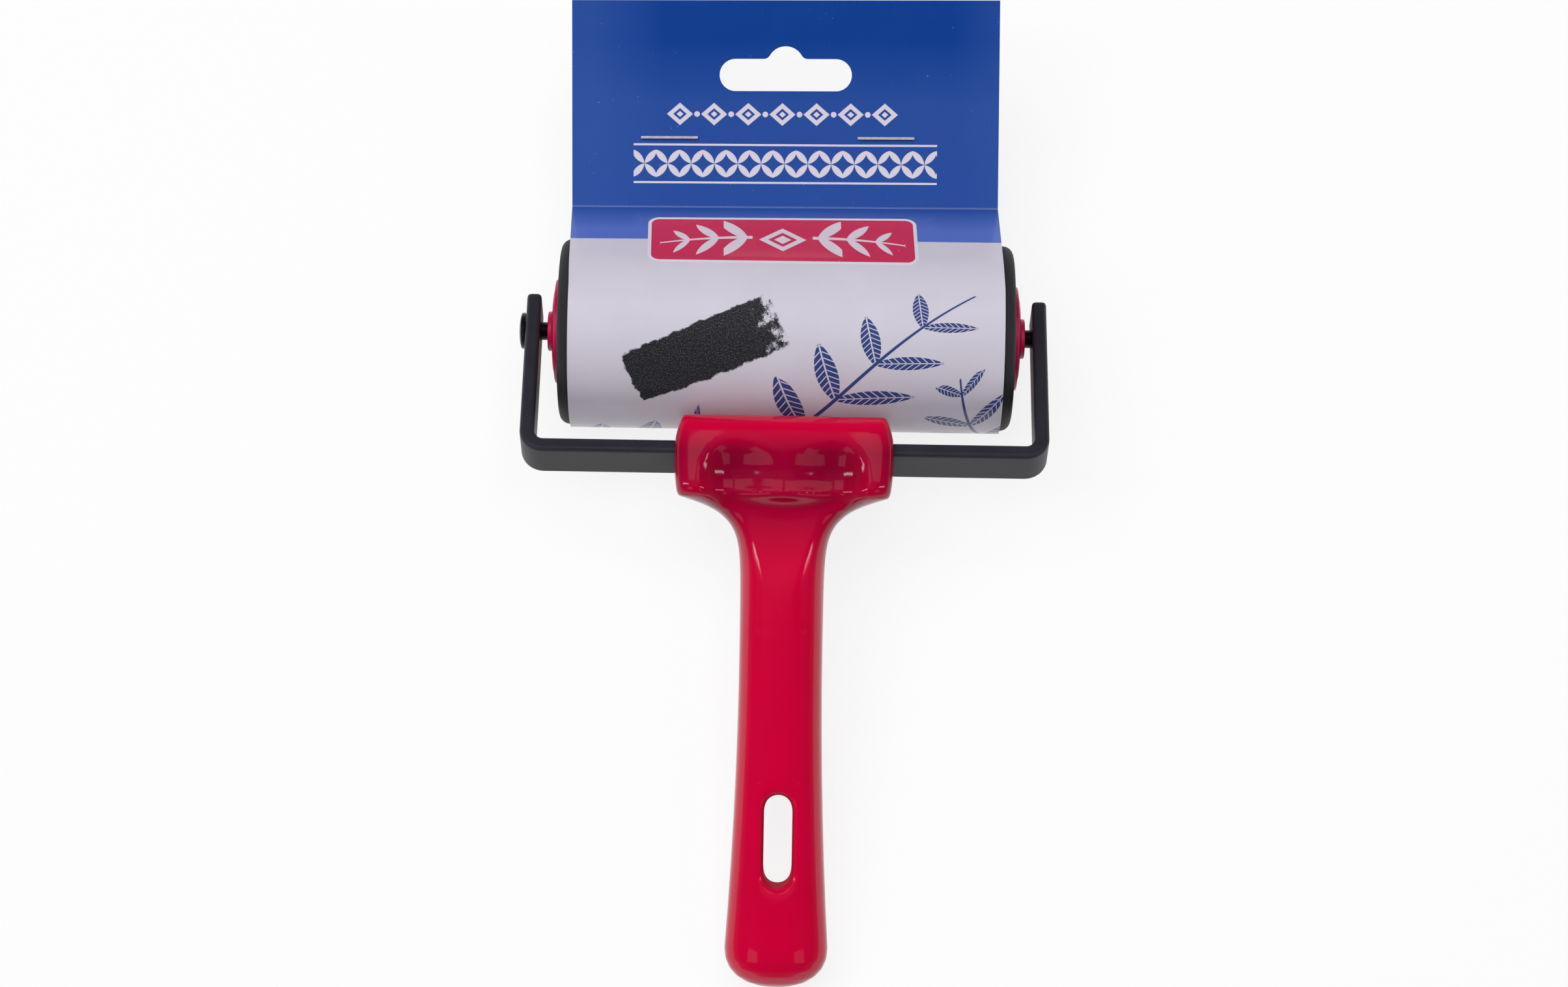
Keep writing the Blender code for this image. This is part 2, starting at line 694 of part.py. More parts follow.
def stand_on_bench(root):
    """Moves the whole tool so that its box stands centred on the origin."""
    bpy.context.view_layer.update()
    nodes = [piece for piece in bpy.data.objects if piece.type == "MESH" and not piece.hide_render]
    corners = [piece.matrix_world @ vertex.co for piece in nodes for vertex in piece.data.vertices]
    xs = [corner.x for corner in corners]
    ys = [corner.y for corner in corners]
    zs = [corner.z for corner in corners]
    root.location = (-(min(xs) + max(xs)) / 2, -(min(ys) + max(ys)) / 2, -min(zs))
    bpy.context.view_layer.update()


def main():
    """Builds the brayer."""
    clear_scene()
    red_plastic = make_material("red_plastic", (0.53, 0.001, 0.028), 0.22)
    hub_plastic = make_material("hub_plastic", (0.26, 0.005, 0.047), 0.35)
    black_coat = make_material("black_coat", (0.035, 0.034, 0.042), 0.45)
    black_steel = make_material("black_steel", (0.010, 0.006, 0.010), 0.35, 1.0)
    soft_rubber = make_material("soft_rubber", (0.028, 0.028, 0.034), 0.65)
    core_tube = make_material("core_tube", (0.55, 0.53, 0.50), 0.6)
    printed_card = make_material("printed_card", (0.60, 0.58, 0.67), 0.35)
    bright_wire = make_material("bright_wire", (0.62, 0.62, 0.65), 0.3, 1.0)

    root = make_empty("axle_centre")
    tool = make_empty("tool", root, turn_x=resting_turn())
    build_frame(tool, black_coat)
    build_axle(tool, black_steel)
    build_handle(tool, red_plastic)

    roller = make_empty("roller", root)
    build_rubber(roller, soft_rubber)
    build_core(roller, core_tube)
    build_hub("left_hub", -1, roller, hub_plastic)
    build_hub("right_hub", 1, roller, hub_plastic)

    card = make_empty("card", root, turn_x=CARD_LIFT)
    header = make_empty("header", card, (0, CREASE_REACH, -CREASE_DROP))
    build_card(card, header, printed_card)
    build_staples(header, bright_wire)

    stand_on_bench(root)


main()
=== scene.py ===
"""A hand brayer on a white bench, seen from above, with its hang card still on the roller.

Each sub-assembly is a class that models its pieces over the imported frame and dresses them. Metres,
+Z up, X along the axle, the handle towards -Y and the card's header towards +Y, as in the frame.
"""

from __future__ import annotations

import json
import logging
import math
from dataclasses import dataclass
from enum import Enum
from typing import Any, Callable, Iterable, Sequence, Union

import bmesh
import bpy
from mathutils import Matrix, Quaternion, Vector

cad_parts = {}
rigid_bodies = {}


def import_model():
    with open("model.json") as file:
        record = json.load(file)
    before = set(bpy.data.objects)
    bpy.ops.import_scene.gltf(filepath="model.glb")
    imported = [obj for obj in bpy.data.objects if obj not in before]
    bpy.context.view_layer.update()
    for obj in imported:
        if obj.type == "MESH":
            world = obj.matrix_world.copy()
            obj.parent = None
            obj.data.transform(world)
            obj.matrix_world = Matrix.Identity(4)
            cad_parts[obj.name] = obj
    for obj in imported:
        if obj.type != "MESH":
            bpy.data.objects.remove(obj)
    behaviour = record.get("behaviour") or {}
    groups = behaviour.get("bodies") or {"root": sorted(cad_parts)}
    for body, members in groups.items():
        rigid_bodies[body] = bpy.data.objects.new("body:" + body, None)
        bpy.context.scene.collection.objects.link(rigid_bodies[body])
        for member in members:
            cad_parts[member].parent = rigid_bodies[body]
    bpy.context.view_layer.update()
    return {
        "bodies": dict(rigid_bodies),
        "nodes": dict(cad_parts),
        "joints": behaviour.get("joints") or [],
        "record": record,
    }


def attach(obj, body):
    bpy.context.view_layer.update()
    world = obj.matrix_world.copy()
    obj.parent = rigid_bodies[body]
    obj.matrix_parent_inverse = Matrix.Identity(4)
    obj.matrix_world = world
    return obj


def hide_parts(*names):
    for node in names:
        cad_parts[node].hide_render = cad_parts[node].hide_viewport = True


LOG = logging.getLogger("brayer")
IMAGE_WIDTH = 2408
MERGE_DISTANCE = 1e-6
QUARTER_TURN = math.pi / 2

Number = Union["Socket", float]
Point = tuple[float, float]
Pair = tuple[float, float]
Triple = tuple[float, float, float]
Colour = tuple[float, float, float]


class Body(Enum):
    """The frame's moving bodies."""

    TOOL = "tool"
    ROLLER = "roller"
    CARD = "card"


class Side(Enum):
    """Which end of the axle a piece is on."""

    LEFT = -1
    RIGHT = 1


class Pick(Enum):
    """What an edit-mode selection takes."""

    VERTS = "VERT"
    EDGES = "EDGE"
    FACES = "FACE"


class Merge(Enum):
    """What happens where two solids meet."""

    JOIN = "UNION"
    CUT = "DIFFERENCE"


class Modifier(Enum):
    """The modifiers that shape a piece."""

    BEVEL = "BEVEL"
    BOOLEAN = "BOOLEAN"
    REMESH = "REMESH"
    SMOOTH = "SMOOTH"
    SOLIDIFY = "SOLIDIFY"


class Operation(Enum):
    """What a Math node works out."""

    ADD = "ADD"
    SUBTRACT = "SUBTRACT"
    MULTIPLY = "MULTIPLY"
    DIVIDE = "DIVIDE"
    REMAINDER = "FLOORED_MODULO"
    SIZE = "ABSOLUTE"
    LEAST = "MINIMUM"
    MOST = "MAXIMUM"
    ROOT = "SQRT"


# Shader graphs


class Socket:
    """A number that runs through a shader graph and takes part in plain arithmetic."""

    def __init__(self, graph: "Graph", link: bpy.types.NodeSocket) -> None:
        """Wraps an output socket of a graph."""
        self.graph = graph
        self.link = link

    def math(self, operation: Operation, *others: Number, clamp: bool = False) -> "Socket":
        """Adds a Math node with this number as its first input.

        Args:
            operation: The node's operation.
            others: The further inputs.
            clamp: Whether the result is held between 0 and 1.

        Returns:
            The result.
        """
        settings = {"operation": operation.value, "use_clamp": clamp}
        return self.graph.value("ShaderNodeMath", settings, dict(enumerate((self, *others))))

    def __add__(self, other: Number) -> "Socket":
        """Adds a number."""
        return self.math(Operation.ADD, other)

    __radd__ = __add__

    def __mul__(self, other: Number) -> "Socket":
        """Multiplies by a number."""
        return self.math(Operation.MULTIPLY, other)

    __rmul__ = __mul__

    def __sub__(self, other: Number) -> "Socket":
        """Takes a number off."""
        return self.math(Operation.SUBTRACT, other)

    def __rsub__(self, other: float) -> "Socket":
        """Takes this off a plain number."""
        settings = {"operation": Operation.SUBTRACT.value}
        return self.graph.value("ShaderNodeMath", settings, {0: other, 1: self})

    def __truediv__(self, other: Number) -> "Socket":
        """Divides by a number."""
        return self.math(Operation.DIVIDE, other)

    def __mod__(self, other: Number) -> "Socket":
        """The remainder of a division, never negative."""
        return self.math(Operation.REMAINDER, other)

    def __abs__(self) -> "Socket":
        """The size without the sign."""
        return self.math(Operation.SIZE)

    def above(self, edge: Number, soft: float) -> "Socket":
        """1 where this is above an edge and 0 below it, over a soft step."""
        return ((self - edge) / soft).math(Operation.ADD, 0.5, clamp=True)

    def below(self, edge: Number, soft: float) -> "Socket":
        """1 where this is below an edge and 0 above it, over a soft step."""
        return 1 - self.above(edge, soft)

    def least(self, other: Number) -> "Socket":
        """The smaller of two."""
        return self.math(Operation.LEAST, other)

    def most(self, other: Number) -> "Socket":
        """The larger of two."""
        return self.math(Operation.MOST, other)

    def reach(self, other: "Socket") -> "Socket":
        """The length of the vector of two numbers."""
        return (self * self + other * other).math(Operation.ROOT)


class Graph:
    """A node tree that is built by calls."""

    def __init__(self, tree: bpy.types.NodeTree) -> None:
        """Empties a node tree to build in."""
        self.tree = tree
        tree.nodes.clear()

    def node(self, kind: str, settings: dict[str, Any], inputs: dict[Any, Any]) -> bpy.types.Node:
        """Adds one node.

        Args:
            kind: The node's type.
            settings: Its own settings, set first. "stops" gives a ramp's (position, colour) pairs.
            inputs: Values or links for its sockets, by name or number.

        Returns:
            The node.
        """
        node = self.tree.nodes.new(kind)
        for name, setting in settings.items():
            if name == "stops":
                self._set_stops(node.color_ramp, setting)
            else:
                setattr(node, name, setting)
        for name, given in inputs.items():
            socket = node.inputs[name]
            if isinstance(given, Socket):
                self.tree.links.new(given.link, socket)
            elif isinstance(given, bpy.types.NodeSocket):
                self.tree.links.new(given, socket)
            else:
                socket.default_value = given
        return node

    @staticmethod
    def _set_stops(ramp: bpy.types.ColorRamp, stops: Sequence[tuple[float, Colour]]) -> None:
        """Gives a ramp its stops.

        Args:
            ramp: The ramp.
            stops: Its stops as (position, colour).
        """
        while len(ramp.elements) < len(stops):
            ramp.elements.new(1.0)
        for element, (position, colour) in zip(ramp.elements, stops):
            element.position = position
            element.color = (*colour, 1.0)

    def value(
        self, kind: str, settings: dict[str, Any], inputs: dict[Any, Any], output: Any = 0
    ) -> Socket:
        """Adds one node and wraps one of its outputs.

        Args:
            kind: The node's type.
            settings: Its own settings.
            inputs: Values or links for its sockets.
            output: The output's name or number.

        Returns:
            The wrapped output.
        """
        return Socket(self, self.node(kind, settings, inputs).outputs[output])

    def mix(self, share: Number, first: Any, second: Any) -> bpy.types.NodeSocket:
        """Mixes two colours.

        Args:
            share: How much of the second colour there is.
            first: A colour or a colour link.
            second: A colour or a colour link.

        Returns:
            The mixed colour's socket.
        """
        inputs = {"Factor": share, 6: self._colour(first), 7: self._colour(second)}
        return self.node("ShaderNodeMix", {"data_type": "RGBA"}, inputs).outputs[2]

    @staticmethod
    def _colour(given: Any) -> Any:
        """Adds alpha to a plain colour."""
        return given if isinstance(given, bpy.types.NodeSocket) else (*given, 1.0)

    def noise(
        self, place: Any, scale: float, detail: float = 2.0, roughness: float = 0.5
    ) -> Socket:
        """A noise value between 0 and 1.

        Args:
            place: The coordinate link it is read at.
            scale: Its frequency.
            detail: How many finer layers it has.
            roughness: How strong they are.

        Returns:
            The value.
        """
        inputs = {"Vector": place, "Scale": scale, "Detail": detail, "Roughness": roughness}
        return self.value("ShaderNodeTexNoise", {}, inputs)

    def streaks(
        self, place: Any, scales: Pair, detail: float = 2.0, roughness: float = 0.5
    ) -> Socket:
        """A noise value between 0 and 1 that is stretched along X or across it.

        Args:
            place: The coordinate link it is read at.
            scales: Its frequency along X and across X.
            detail: How many finer layers it has.
            roughness: How strong they are.

        Returns:
            The value.
        """
        along, across = scales
        inputs = {"Vector": place, "Scale": (along, across, across)}
        stretched = self.node("ShaderNodeMapping", {}, inputs).outputs[0]
        return self.noise(stretched, 1.0, detail, roughness)

    def axes(self, place: Any) -> tuple[Socket, ...]:
        """The three numbers of a coordinate."""
        node = self.node("ShaderNodeSeparateXYZ", {}, {"Vector": place})
        return tuple(Socket(self, output) for output in node.outputs)

    def bump(self, height: Socket, strength: float, distance: float) -> bpy.types.NodeSocket:
        """Turns a height into a normal.

        Args:
            height: The height, between 0 and 1.
            strength: How much of the bump shows.
            distance: How high 1 is, in metres.

        Returns:
            The normal's socket.
        """
        inputs = {"Strength": strength, "Distance": distance, "Height": height}
        return self.node("ShaderNodeBump", {}, inputs).outputs[0]

    def rays(self, *kinds: str) -> Socket:
        """1 for rays of the named kinds and 0 for others.

        Args:
            kinds: Names of the Light Path node's outputs.

        Returns:
            The value.
        """
        path = self.node("ShaderNodeLightPath", {}, {})
        first, *others = (Socket(self, path.outputs[kind]) for kind in kinds)
        for other in others:
            first = first.most(other)
        return first


class Finish:
    """A procedural material for the brayer's pieces.

    Its fields give scales as noise frequencies, "rough" as the least roughness and how far it
    varies, and "relief" as a bump's strength and its depth.
    """

    name = "finish"

    def material(self) -> bpy.types.Material:
        """Makes the material once and returns it from then on.

        Returns:
            The material.
        """
        known = bpy.data.materials.get(self.name)
        if known is not None:
            return known
        made = bpy.data.materials.new(self.name)
        made.use_nodes = True
        graph = Graph(made.node_tree)
        shader = graph.node("ShaderNodeBsdfPrincipled", {}, self.sockets(graph))
        graph.node("ShaderNodeOutputMaterial", {}, {"Surface": shader.outputs[0]})
        return made

    def sockets(self, graph: Graph) -> dict[str, Any]:
        """What goes into the shader's sockets.

        Args:
            graph: The material's graph.

        Returns:
            Values and links by socket name.
        """
        raise NotImplementedError

    @staticmethod
    def place(graph: Graph) -> bpy.types.NodeSocket:
        """The coordinates of the piece itself."""
        return graph.node("ShaderNodeTexCoord", {}, {}).outputs["Object"]


@dataclass(frozen=True)
class GlossPlastic(Finish):
    """The handle's glossy moulded plastic, a little see-through, with the mould's parting line.

    Painted shade darkens the colour over the strap inside the head, more where less plastic covers
    it.
    """

    colour: Colour = (0.605, 0.0001, 0.0385)
    deep: Colour = (0.560, 0.0001, 0.0345)
    flow_scale: float = 55.0
    fine_scale: float = 900.0
    least_rough: float = 0.065
    relief: Pair = (0.3, 0.00004)
    seam_half: float = 0.00012
    # Painted shade over the strap: colour, share, cover falloff and fade along the handle.
    painted_strap_shade: Colour = (0.0, 0.0, 0.0150)
    painted_shade_share: float = 0.98
    painted_shade_cover: float = 60.0
    painted_shade_least_cover: float = 0.004
    painted_shade_top: Pair = (0.0072, 0.0014)
    painted_shade_foot: Pair = (-0.0035, -0.0240)
    slot_reach: Pair = (-0.0936, -0.0723)
    slot_half: Pair = (0.0036, 0.0068)
    slot_soft: Pair = (0.0004, 0.0010)
    slot_rough: float = 0.7
    middle: Triple = (0.0, 0.0, 0.0)
    turn: float = 0.0
    name: str = "red_gloss_plastic"

    def sockets(self, graph: Graph) -> dict[str, Any]:
        """Colour flow, painted shade over the strap, fine gloss changes and the parting line.

        Args:
            graph: The material's graph.

        Returns:
            Values and links by socket name.
        """
        place = self.place(graph)
        flow = graph.noise(place, self.flow_scale, 3.0)
        fine = graph.noise(place, self.fine_scale)
        across, along, height = self._own_axes(graph, place)
        slot = self._slot(across, along, height)
        seam = abs(height).below(self.seam_half, self.seam_half)
        relief = fine * 0.2 + seam
        red = graph.mix(flow.above(0.5, 0.5), self.colour, self.deep)
        # Painted shade: how far the base colour darkens over the strap inside the head.
        strap = self._painted_shade_over_strap(along, height)
        rough = self.least_rough + flow * 0.02 + fine * 0.02 + seam * 0.1
        return {
            "Base Color": graph.mix(strap, red, self.painted_strap_shade),
            "Roughness": rough + slot * self.slot_rough,
            "Specular IOR Level": 0.42,
            "Normal": graph.bump(relief, *self.relief),
        }

    def _own_axes(self, graph: Graph, place: Any) -> tuple[Socket, ...]:
        """Coordinates in the handle's own frame.

        Args:
            graph: The material's graph.
            place: The piece's coordinates.

        Returns:
            Places across the handle, along it from the strap and above its middle.
        """
        inputs = {"Vector": place, "Rotation": (-self.turn, 0, 0)}
        turned = graph.node("ShaderNodeMapping", {}, inputs).outputs[0]
        offset = Matrix.Rotation(-self.turn, 3, "X") @ Vector(self.middle)
        return tuple(axis - shift for axis, shift in zip(graph.axes(turned), offset))

    def _slot(self, across: Socket, along: Socket, height: Socket) -> Socket:
        """Where the walls of the hang slot are, which the mould leaves matt.

        Args:
            across: Place across the handle.
            along: Place along the handle from the strap.
            height: Height over the handle's middle.

        Returns:
            1 on the walls and 0 elsewhere.
        """
        half, half_height = self.slot_half
        soft, soft_height = self.slot_soft
        low, high = self.slot_reach
        walls = abs(across).below(half, soft) * abs(height).below(half_height, soft_height)
        return walls * along.above(low, soft) * along.below(high, soft)

    def _painted_shade_over_strap(self, along: Socket, height: Socket) -> Socket:
        """How much painted shade darkens the colour, in place of the strap seen through the plastic.

        Args:
            along: Place along the handle from the strap.
            height: Height over the strap.

        Returns:
            The share, from 0 to less than 1.
        """
        top, full_top = self.painted_shade_top
        full_foot, foot = self.painted_shade_foot
        upper = ((top - along) / (top - full_top)).least(1.0)
        lower = ((along - foot) / (full_foot - foot)).least(1.0)
        cover = self.painted_shade_share - height.most(self.painted_shade_least_cover) * self.painted_shade_cover
        return (upper.least(lower).most(0.0) * cover).most(0.0)


@dataclass(frozen=True)
class HubPlastic(Finish):
    """The hubs' satin moulded plastic with turning marks from the mould."""

    colour: Colour = (0.560, 0.0030, 0.0720)
    deep: Colour = (0.430, 0.0020, 0.0540)
    ring_pitch: float = 0.0009
    ring_soft: float = 0.0006
    mottle_scale: float = 260.0
    rough: Pair = (0.27, 0.16)
    relief: Pair = (0.25, 0.00008)
    centre: Point = (0.0, 0.0)
    name: str = "red_hub_plastic"

    def sockets(self, graph: Graph) -> dict[str, Any]:
        """Fine rings round the axle and a mottled satin.

        Args:
            graph: The material's graph.

        Returns:
            Values and links by socket name.
        """
        place = self.place(graph)
        _, y, z = graph.axes(place)
        radius = (y - self.centre[0]).reach(z - self.centre[1])
        rings = (radius % self.ring_pitch).above(self.ring_pitch / 2, self.ring_soft)
        mottle = graph.noise(place, self.mottle_scale, 3.0)
        return {
            "Base Color": graph.mix(mottle.above(0.5, 0.6), self.colour, self.deep),
            "Roughness": self.rough[0] + mottle * self.rough[1],
            "Normal": graph.bump(rings * 0.4 + mottle * 0.6, *self.relief),
        }


@dataclass(frozen=True)
class PowderCoat(Finish):
    """The strap's satin black powder coat with its orange-peel surface."""

    colour: Colour = (0.0180, 0.0172, 0.0245)
    pale: Colour = (0.0275, 0.0265, 0.0365)
    peel_scale: float = 1500.0
    cloud_scale: float = 120.0
    speck_scale: float = 2600.0
    speck_level: float = 0.74
    rough: Pair = (0.38, 0.14)
    relief: Pair = (0.5, 0.00007)
    name: str = "black_powder_coat"

    def sockets(self, graph: Graph) -> dict[str, Any]:
        """Orange peel, small specks and a little wear.

        Args:
            graph: The material's graph.

        Returns:
            Values and links by socket name.
        """
        place = self.place(graph)
        peel = graph.noise(place, self.peel_scale, 2.0, 0.4)
        cloud = graph.noise(place, self.cloud_scale, 4.0)
        specks = graph.noise(place, self.speck_scale, 1.0).above(self.speck_level, 0.04)
        wear = cloud.above(0.55, 0.5) * 0.7 + specks * 0.3
        return {
            "Base Color": graph.mix(wear, self.colour, self.pale),
            "Roughness": self.rough[0] + cloud * self.rough[1] + specks * 0.1,
            "Specular IOR Level": 0.4,
            "Normal": graph.bump(peel + specks * 0.5, *self.relief),
        }


@dataclass(frozen=True)
class BlackSteel(Finish):
    """The axle's blackened steel, drawn along its length."""

    colour: Colour = (0.0110, 0.0095, 0.0115)
    bright: Colour = (0.060, 0.056, 0.060)
    line_scales: Pair = (40, 2600)
    rub_scale: float = 420.0
    rough: Pair = (0.24, 0.16)
    relief: Pair = (0.25, 0.00005)
    name: str = "blackened_steel"

    def sockets(self, graph: Graph) -> dict[str, Any]:
        """Drawing lines and a few brighter rubbed places.

        Args:
            graph: The material's graph.

        Returns:
            Values and links by socket name.
        """
        place = self.place(graph)
        lines = graph.streaks(place, self.line_scales)
        rubbed = graph.noise(place, self.rub_scale, 3.0).above(0.68, 0.2)
        return {
            "Base Color": graph.mix(rubbed * 0.6, self.colour, self.bright),
            "Metallic": 0.6,
            "Roughness": self.rough[0] + lines * self.rough[1],
            "Normal": graph.bump(lines, *self.relief),
        }


@dataclass(frozen=True)
class GroundRubber(Finish):
    """The roller's soft rubber, ground round with a fine nap."""

    colour: Colour = (0.0150, 0.0150, 0.0180)
    pale: Colour = (0.0280, 0.0280, 0.0325)
    ring_scales: Pair = (5200, 160)
    grain_scale: float = 3200.0
    bloom_scale: float = 75.0
    rough: Pair = (0.52, 0.14)
    relief: Pair = (0.5, 0.00006)
    name: str = "ground_rubber"

    def sockets(self, graph: Graph) -> dict[str, Any]:
        """Grinding rings along the length, a fine grain and a dusty bloom.

        Args:
            graph: The material's graph.

        Returns:
            Values and links by socket name.
        """
        place = self.place(graph)
        rings = graph.streaks(place, self.ring_scales)
        grain = graph.noise(place, self.grain_scale)
        bloom = graph.noise(place, self.bloom_scale, 4.0)
        dust = bloom.above(0.55, 0.5) * 0.7 + grain * 0.2
        return {
            "Base Color": graph.mix(dust, self.colour, self.pale),
            "Roughness": self.rough[0] + bloom * self.rough[1] + rings * 0.08,
            "Specular IOR Level": 0.3,
            "Normal": graph.bump(rings * 0.6 + grain * 0.4, *self.relief),
        }


@dataclass(frozen=True)
class ExtrudedTube(Finish):
    """The core's plain extruded plastic with drawing lines along it."""

    colour: Colour = (0.56, 0.54, 0.50)
    deep: Colour = (0.44, 0.42, 0.39)
    line_scales: Pair = (30, 1800)
    dust_scale: float = 210.0
    rough: Pair = (0.48, 0.2)
    relief: Pair = (0.4, 0.00006)
    name: str = "extruded_tube"

    def sockets(self, graph: Graph) -> dict[str, Any]:
        """Lines along the tube and a little dust.

        Args:
            graph: The material's graph.

        Returns:
            Values and links by socket name.
        """
        place = self.place(graph)
        lines = graph.streaks(place, self.line_scales)
        dust = graph.noise(place, self.dust_scale, 4.0)
        return {
            "Base Color": graph.mix(dust.above(0.5, 0.6), self.colour, self.deep),
            "Roughness": self.rough[0] + lines * self.rough[1],
            "Normal": graph.bump(lines, *self.relief),
        }


@dataclass(frozen=True)
class BrightWire(Finish):
    """The staples' bright zinc-plated wire."""

    colour: Colour = (0.70, 0.70, 0.74)
    dull: Colour = (0.50, 0.50, 0.54)
    patch_scale: float = 1400.0
    line_scales: Pair = (300, 9000)
    rough: Pair = (0.26, 0.2)
    relief: Pair = (0.3, 0.00003)
    name: str = "zinc_wire"

    def sockets(self, graph: Graph) -> dict[str, Any]:
        """Plating that is dull in patches, with drawing lines.

        Args:
            graph: The material's graph.

        Returns:
            Values and links by socket name.
        """
        place = self.place(graph)
        patches = graph.noise(place, self.patch_scale, 3.0)
        lines = graph.streaks(place, self.line_scales)
        return {
            "Base Color": graph.mix(patches.above(0.55, 0.4), self.colour, self.dull),
            "Metallic": 0.4,
            "Roughness": self.rough[0] + patches * self.rough[1],
            "Normal": graph.bump(lines, *self.relief),
        }


@dataclass(frozen=True)
class PlainBoard(Finish):
    """The card's unprinted inside and its cut edges."""

    colour: Colour = (0.66, 0.645, 0.63)
    deep: Colour = (0.54, 0.525, 0.51)
    fibre_scales: Pair = (700, 1900)
    rough: Pair = (0.72, 0.15)
    relief: Pair = (0.4, 0.00008)
    name: str = "plain_board"

    def sockets(self, graph: Graph) -> dict[str, Any]:
        """Paper fibres.

        Args:
            graph: The material's graph.

        Returns:
            Values and links by socket name.
        """
        place = self.place(graph)
        fibres = graph.streaks(place, self.fibre_scales, 4.0, 0.65)
        return {
            "Base Color": graph.mix(fibres.above(0.52, 0.4), self.colour, self.deep),
            "Roughness": self.rough[0] + fibres * self.rough[1],
            "Normal": graph.bump(fibres, *self.relief),
        }


def turned_axes(across: Socket, along: Socket, origin: Point, turn: float) -> tuple[Socket, Socket]:
    """Coordinates about an origin, turned on the card.

    Args:
        across: Place across the card.
        along: Place along the card.
        origin: The new origin.
        turn: The turn.

    Returns:
        The place along the turned axis and beside it.
    """
    x, y = across - origin[0], along - origin[1]
    ahead = x * math.cos(turn) + y * math.sin(turn)
    return ahead, y * math.cos(turn) - x * math.sin(turn)


@dataclass(frozen=True)
class Frond:
    """A curved stem with pairs of pointed leaves that get smaller to its tip, in millimetres."""

    foot: Point
    turn: float
    length: float
    pitch: float
    cut: float = 0.95
    curl: float = 0.006
    start: float = 0.25
    stem_half: float = 0.55
    stem_taper: float = 0.35
    first_leaf: float = 1.12
    leaf_taper: float = 0.72
    least_leaf: float = 0.3
    lean: float = math.radians(52)
    beside_stem: float = 1.3
    reach_share: float = 0.72
    belly_share: float = 0.185
    vein_pitch: float = 1.7
    vein_width: float = 0.34
    vein_slope: float = 0.9
    vein_start: float = 0.25
    rib_half: float = 0.17
    crisp: float = 0.1

    def mask(self, across: Socket, along: Socket) -> Socket:
        """Where the frond is printed, its veins cut out.

        Args:
            across: Place across the card.
            along: Place along the card.

        Returns:
            1 on the frond and 0 off it.
        """
        s, t = turned_axes(across, along, self.foot, self.turn)
        t = t - s * s * self.curl
        side = abs(t)
        within = s.above(self.start, 0.2) * s.below(self.length, 0.3)
        stem = side.below(self.stem_half - s * (self.stem_taper / self.length), 0.12)
        return within * stem.most(self._leaf(s, side))

    def _leaf(self, s: Socket, side: Socket) -> Socket:
        """The leaves along the stem.

        Args:
            s: Place along the stem.
            side: Distance from the stem.

        Returns:
            1 on the leaves and 0 off them and in their veins.
        """
        into = s % self.pitch
        taper = self.leaf_taper / self.length
        size = (self.first_leaf - (s - into) * taper).most(self.least_leaf)
        cos, sin = math.cos(self.lean), math.sin(self.lean)
        ahead = (into * cos + side * sin) / size
        beside = (side * cos - into * sin) / size + self.beside_stem
        half, belly = self.pitch * self.reach_share, self.pitch * self.belly_share
        radius = (half * half + belly * belly) / (2 * belly)
        lens = (ahead - half).reach(abs(beside) + (radius - belly)) - radius
        veins = (ahead + abs(beside) * self.vein_slope) % self.vein_pitch
        veins = veins.below(self.vein_width, 0.12)
        veins = veins.least(abs(beside).above(self.vein_start, self.crisp))
        rib = abs(beside).below(self.rib_half, 0.08)
        return lens.below(0.0, self.crisp) * (1 - veins.most(rib) * self.cut)


@dataclass(frozen=True)
class Sheet:
    """The card laid flat, as a shader graph reads it: places in millimetres, and the paper."""

    graph: Graph
    flat: bpy.types.NodeSocket
    across: Socket
    along: Socket
    fibre: Socket
    cloud: Socket


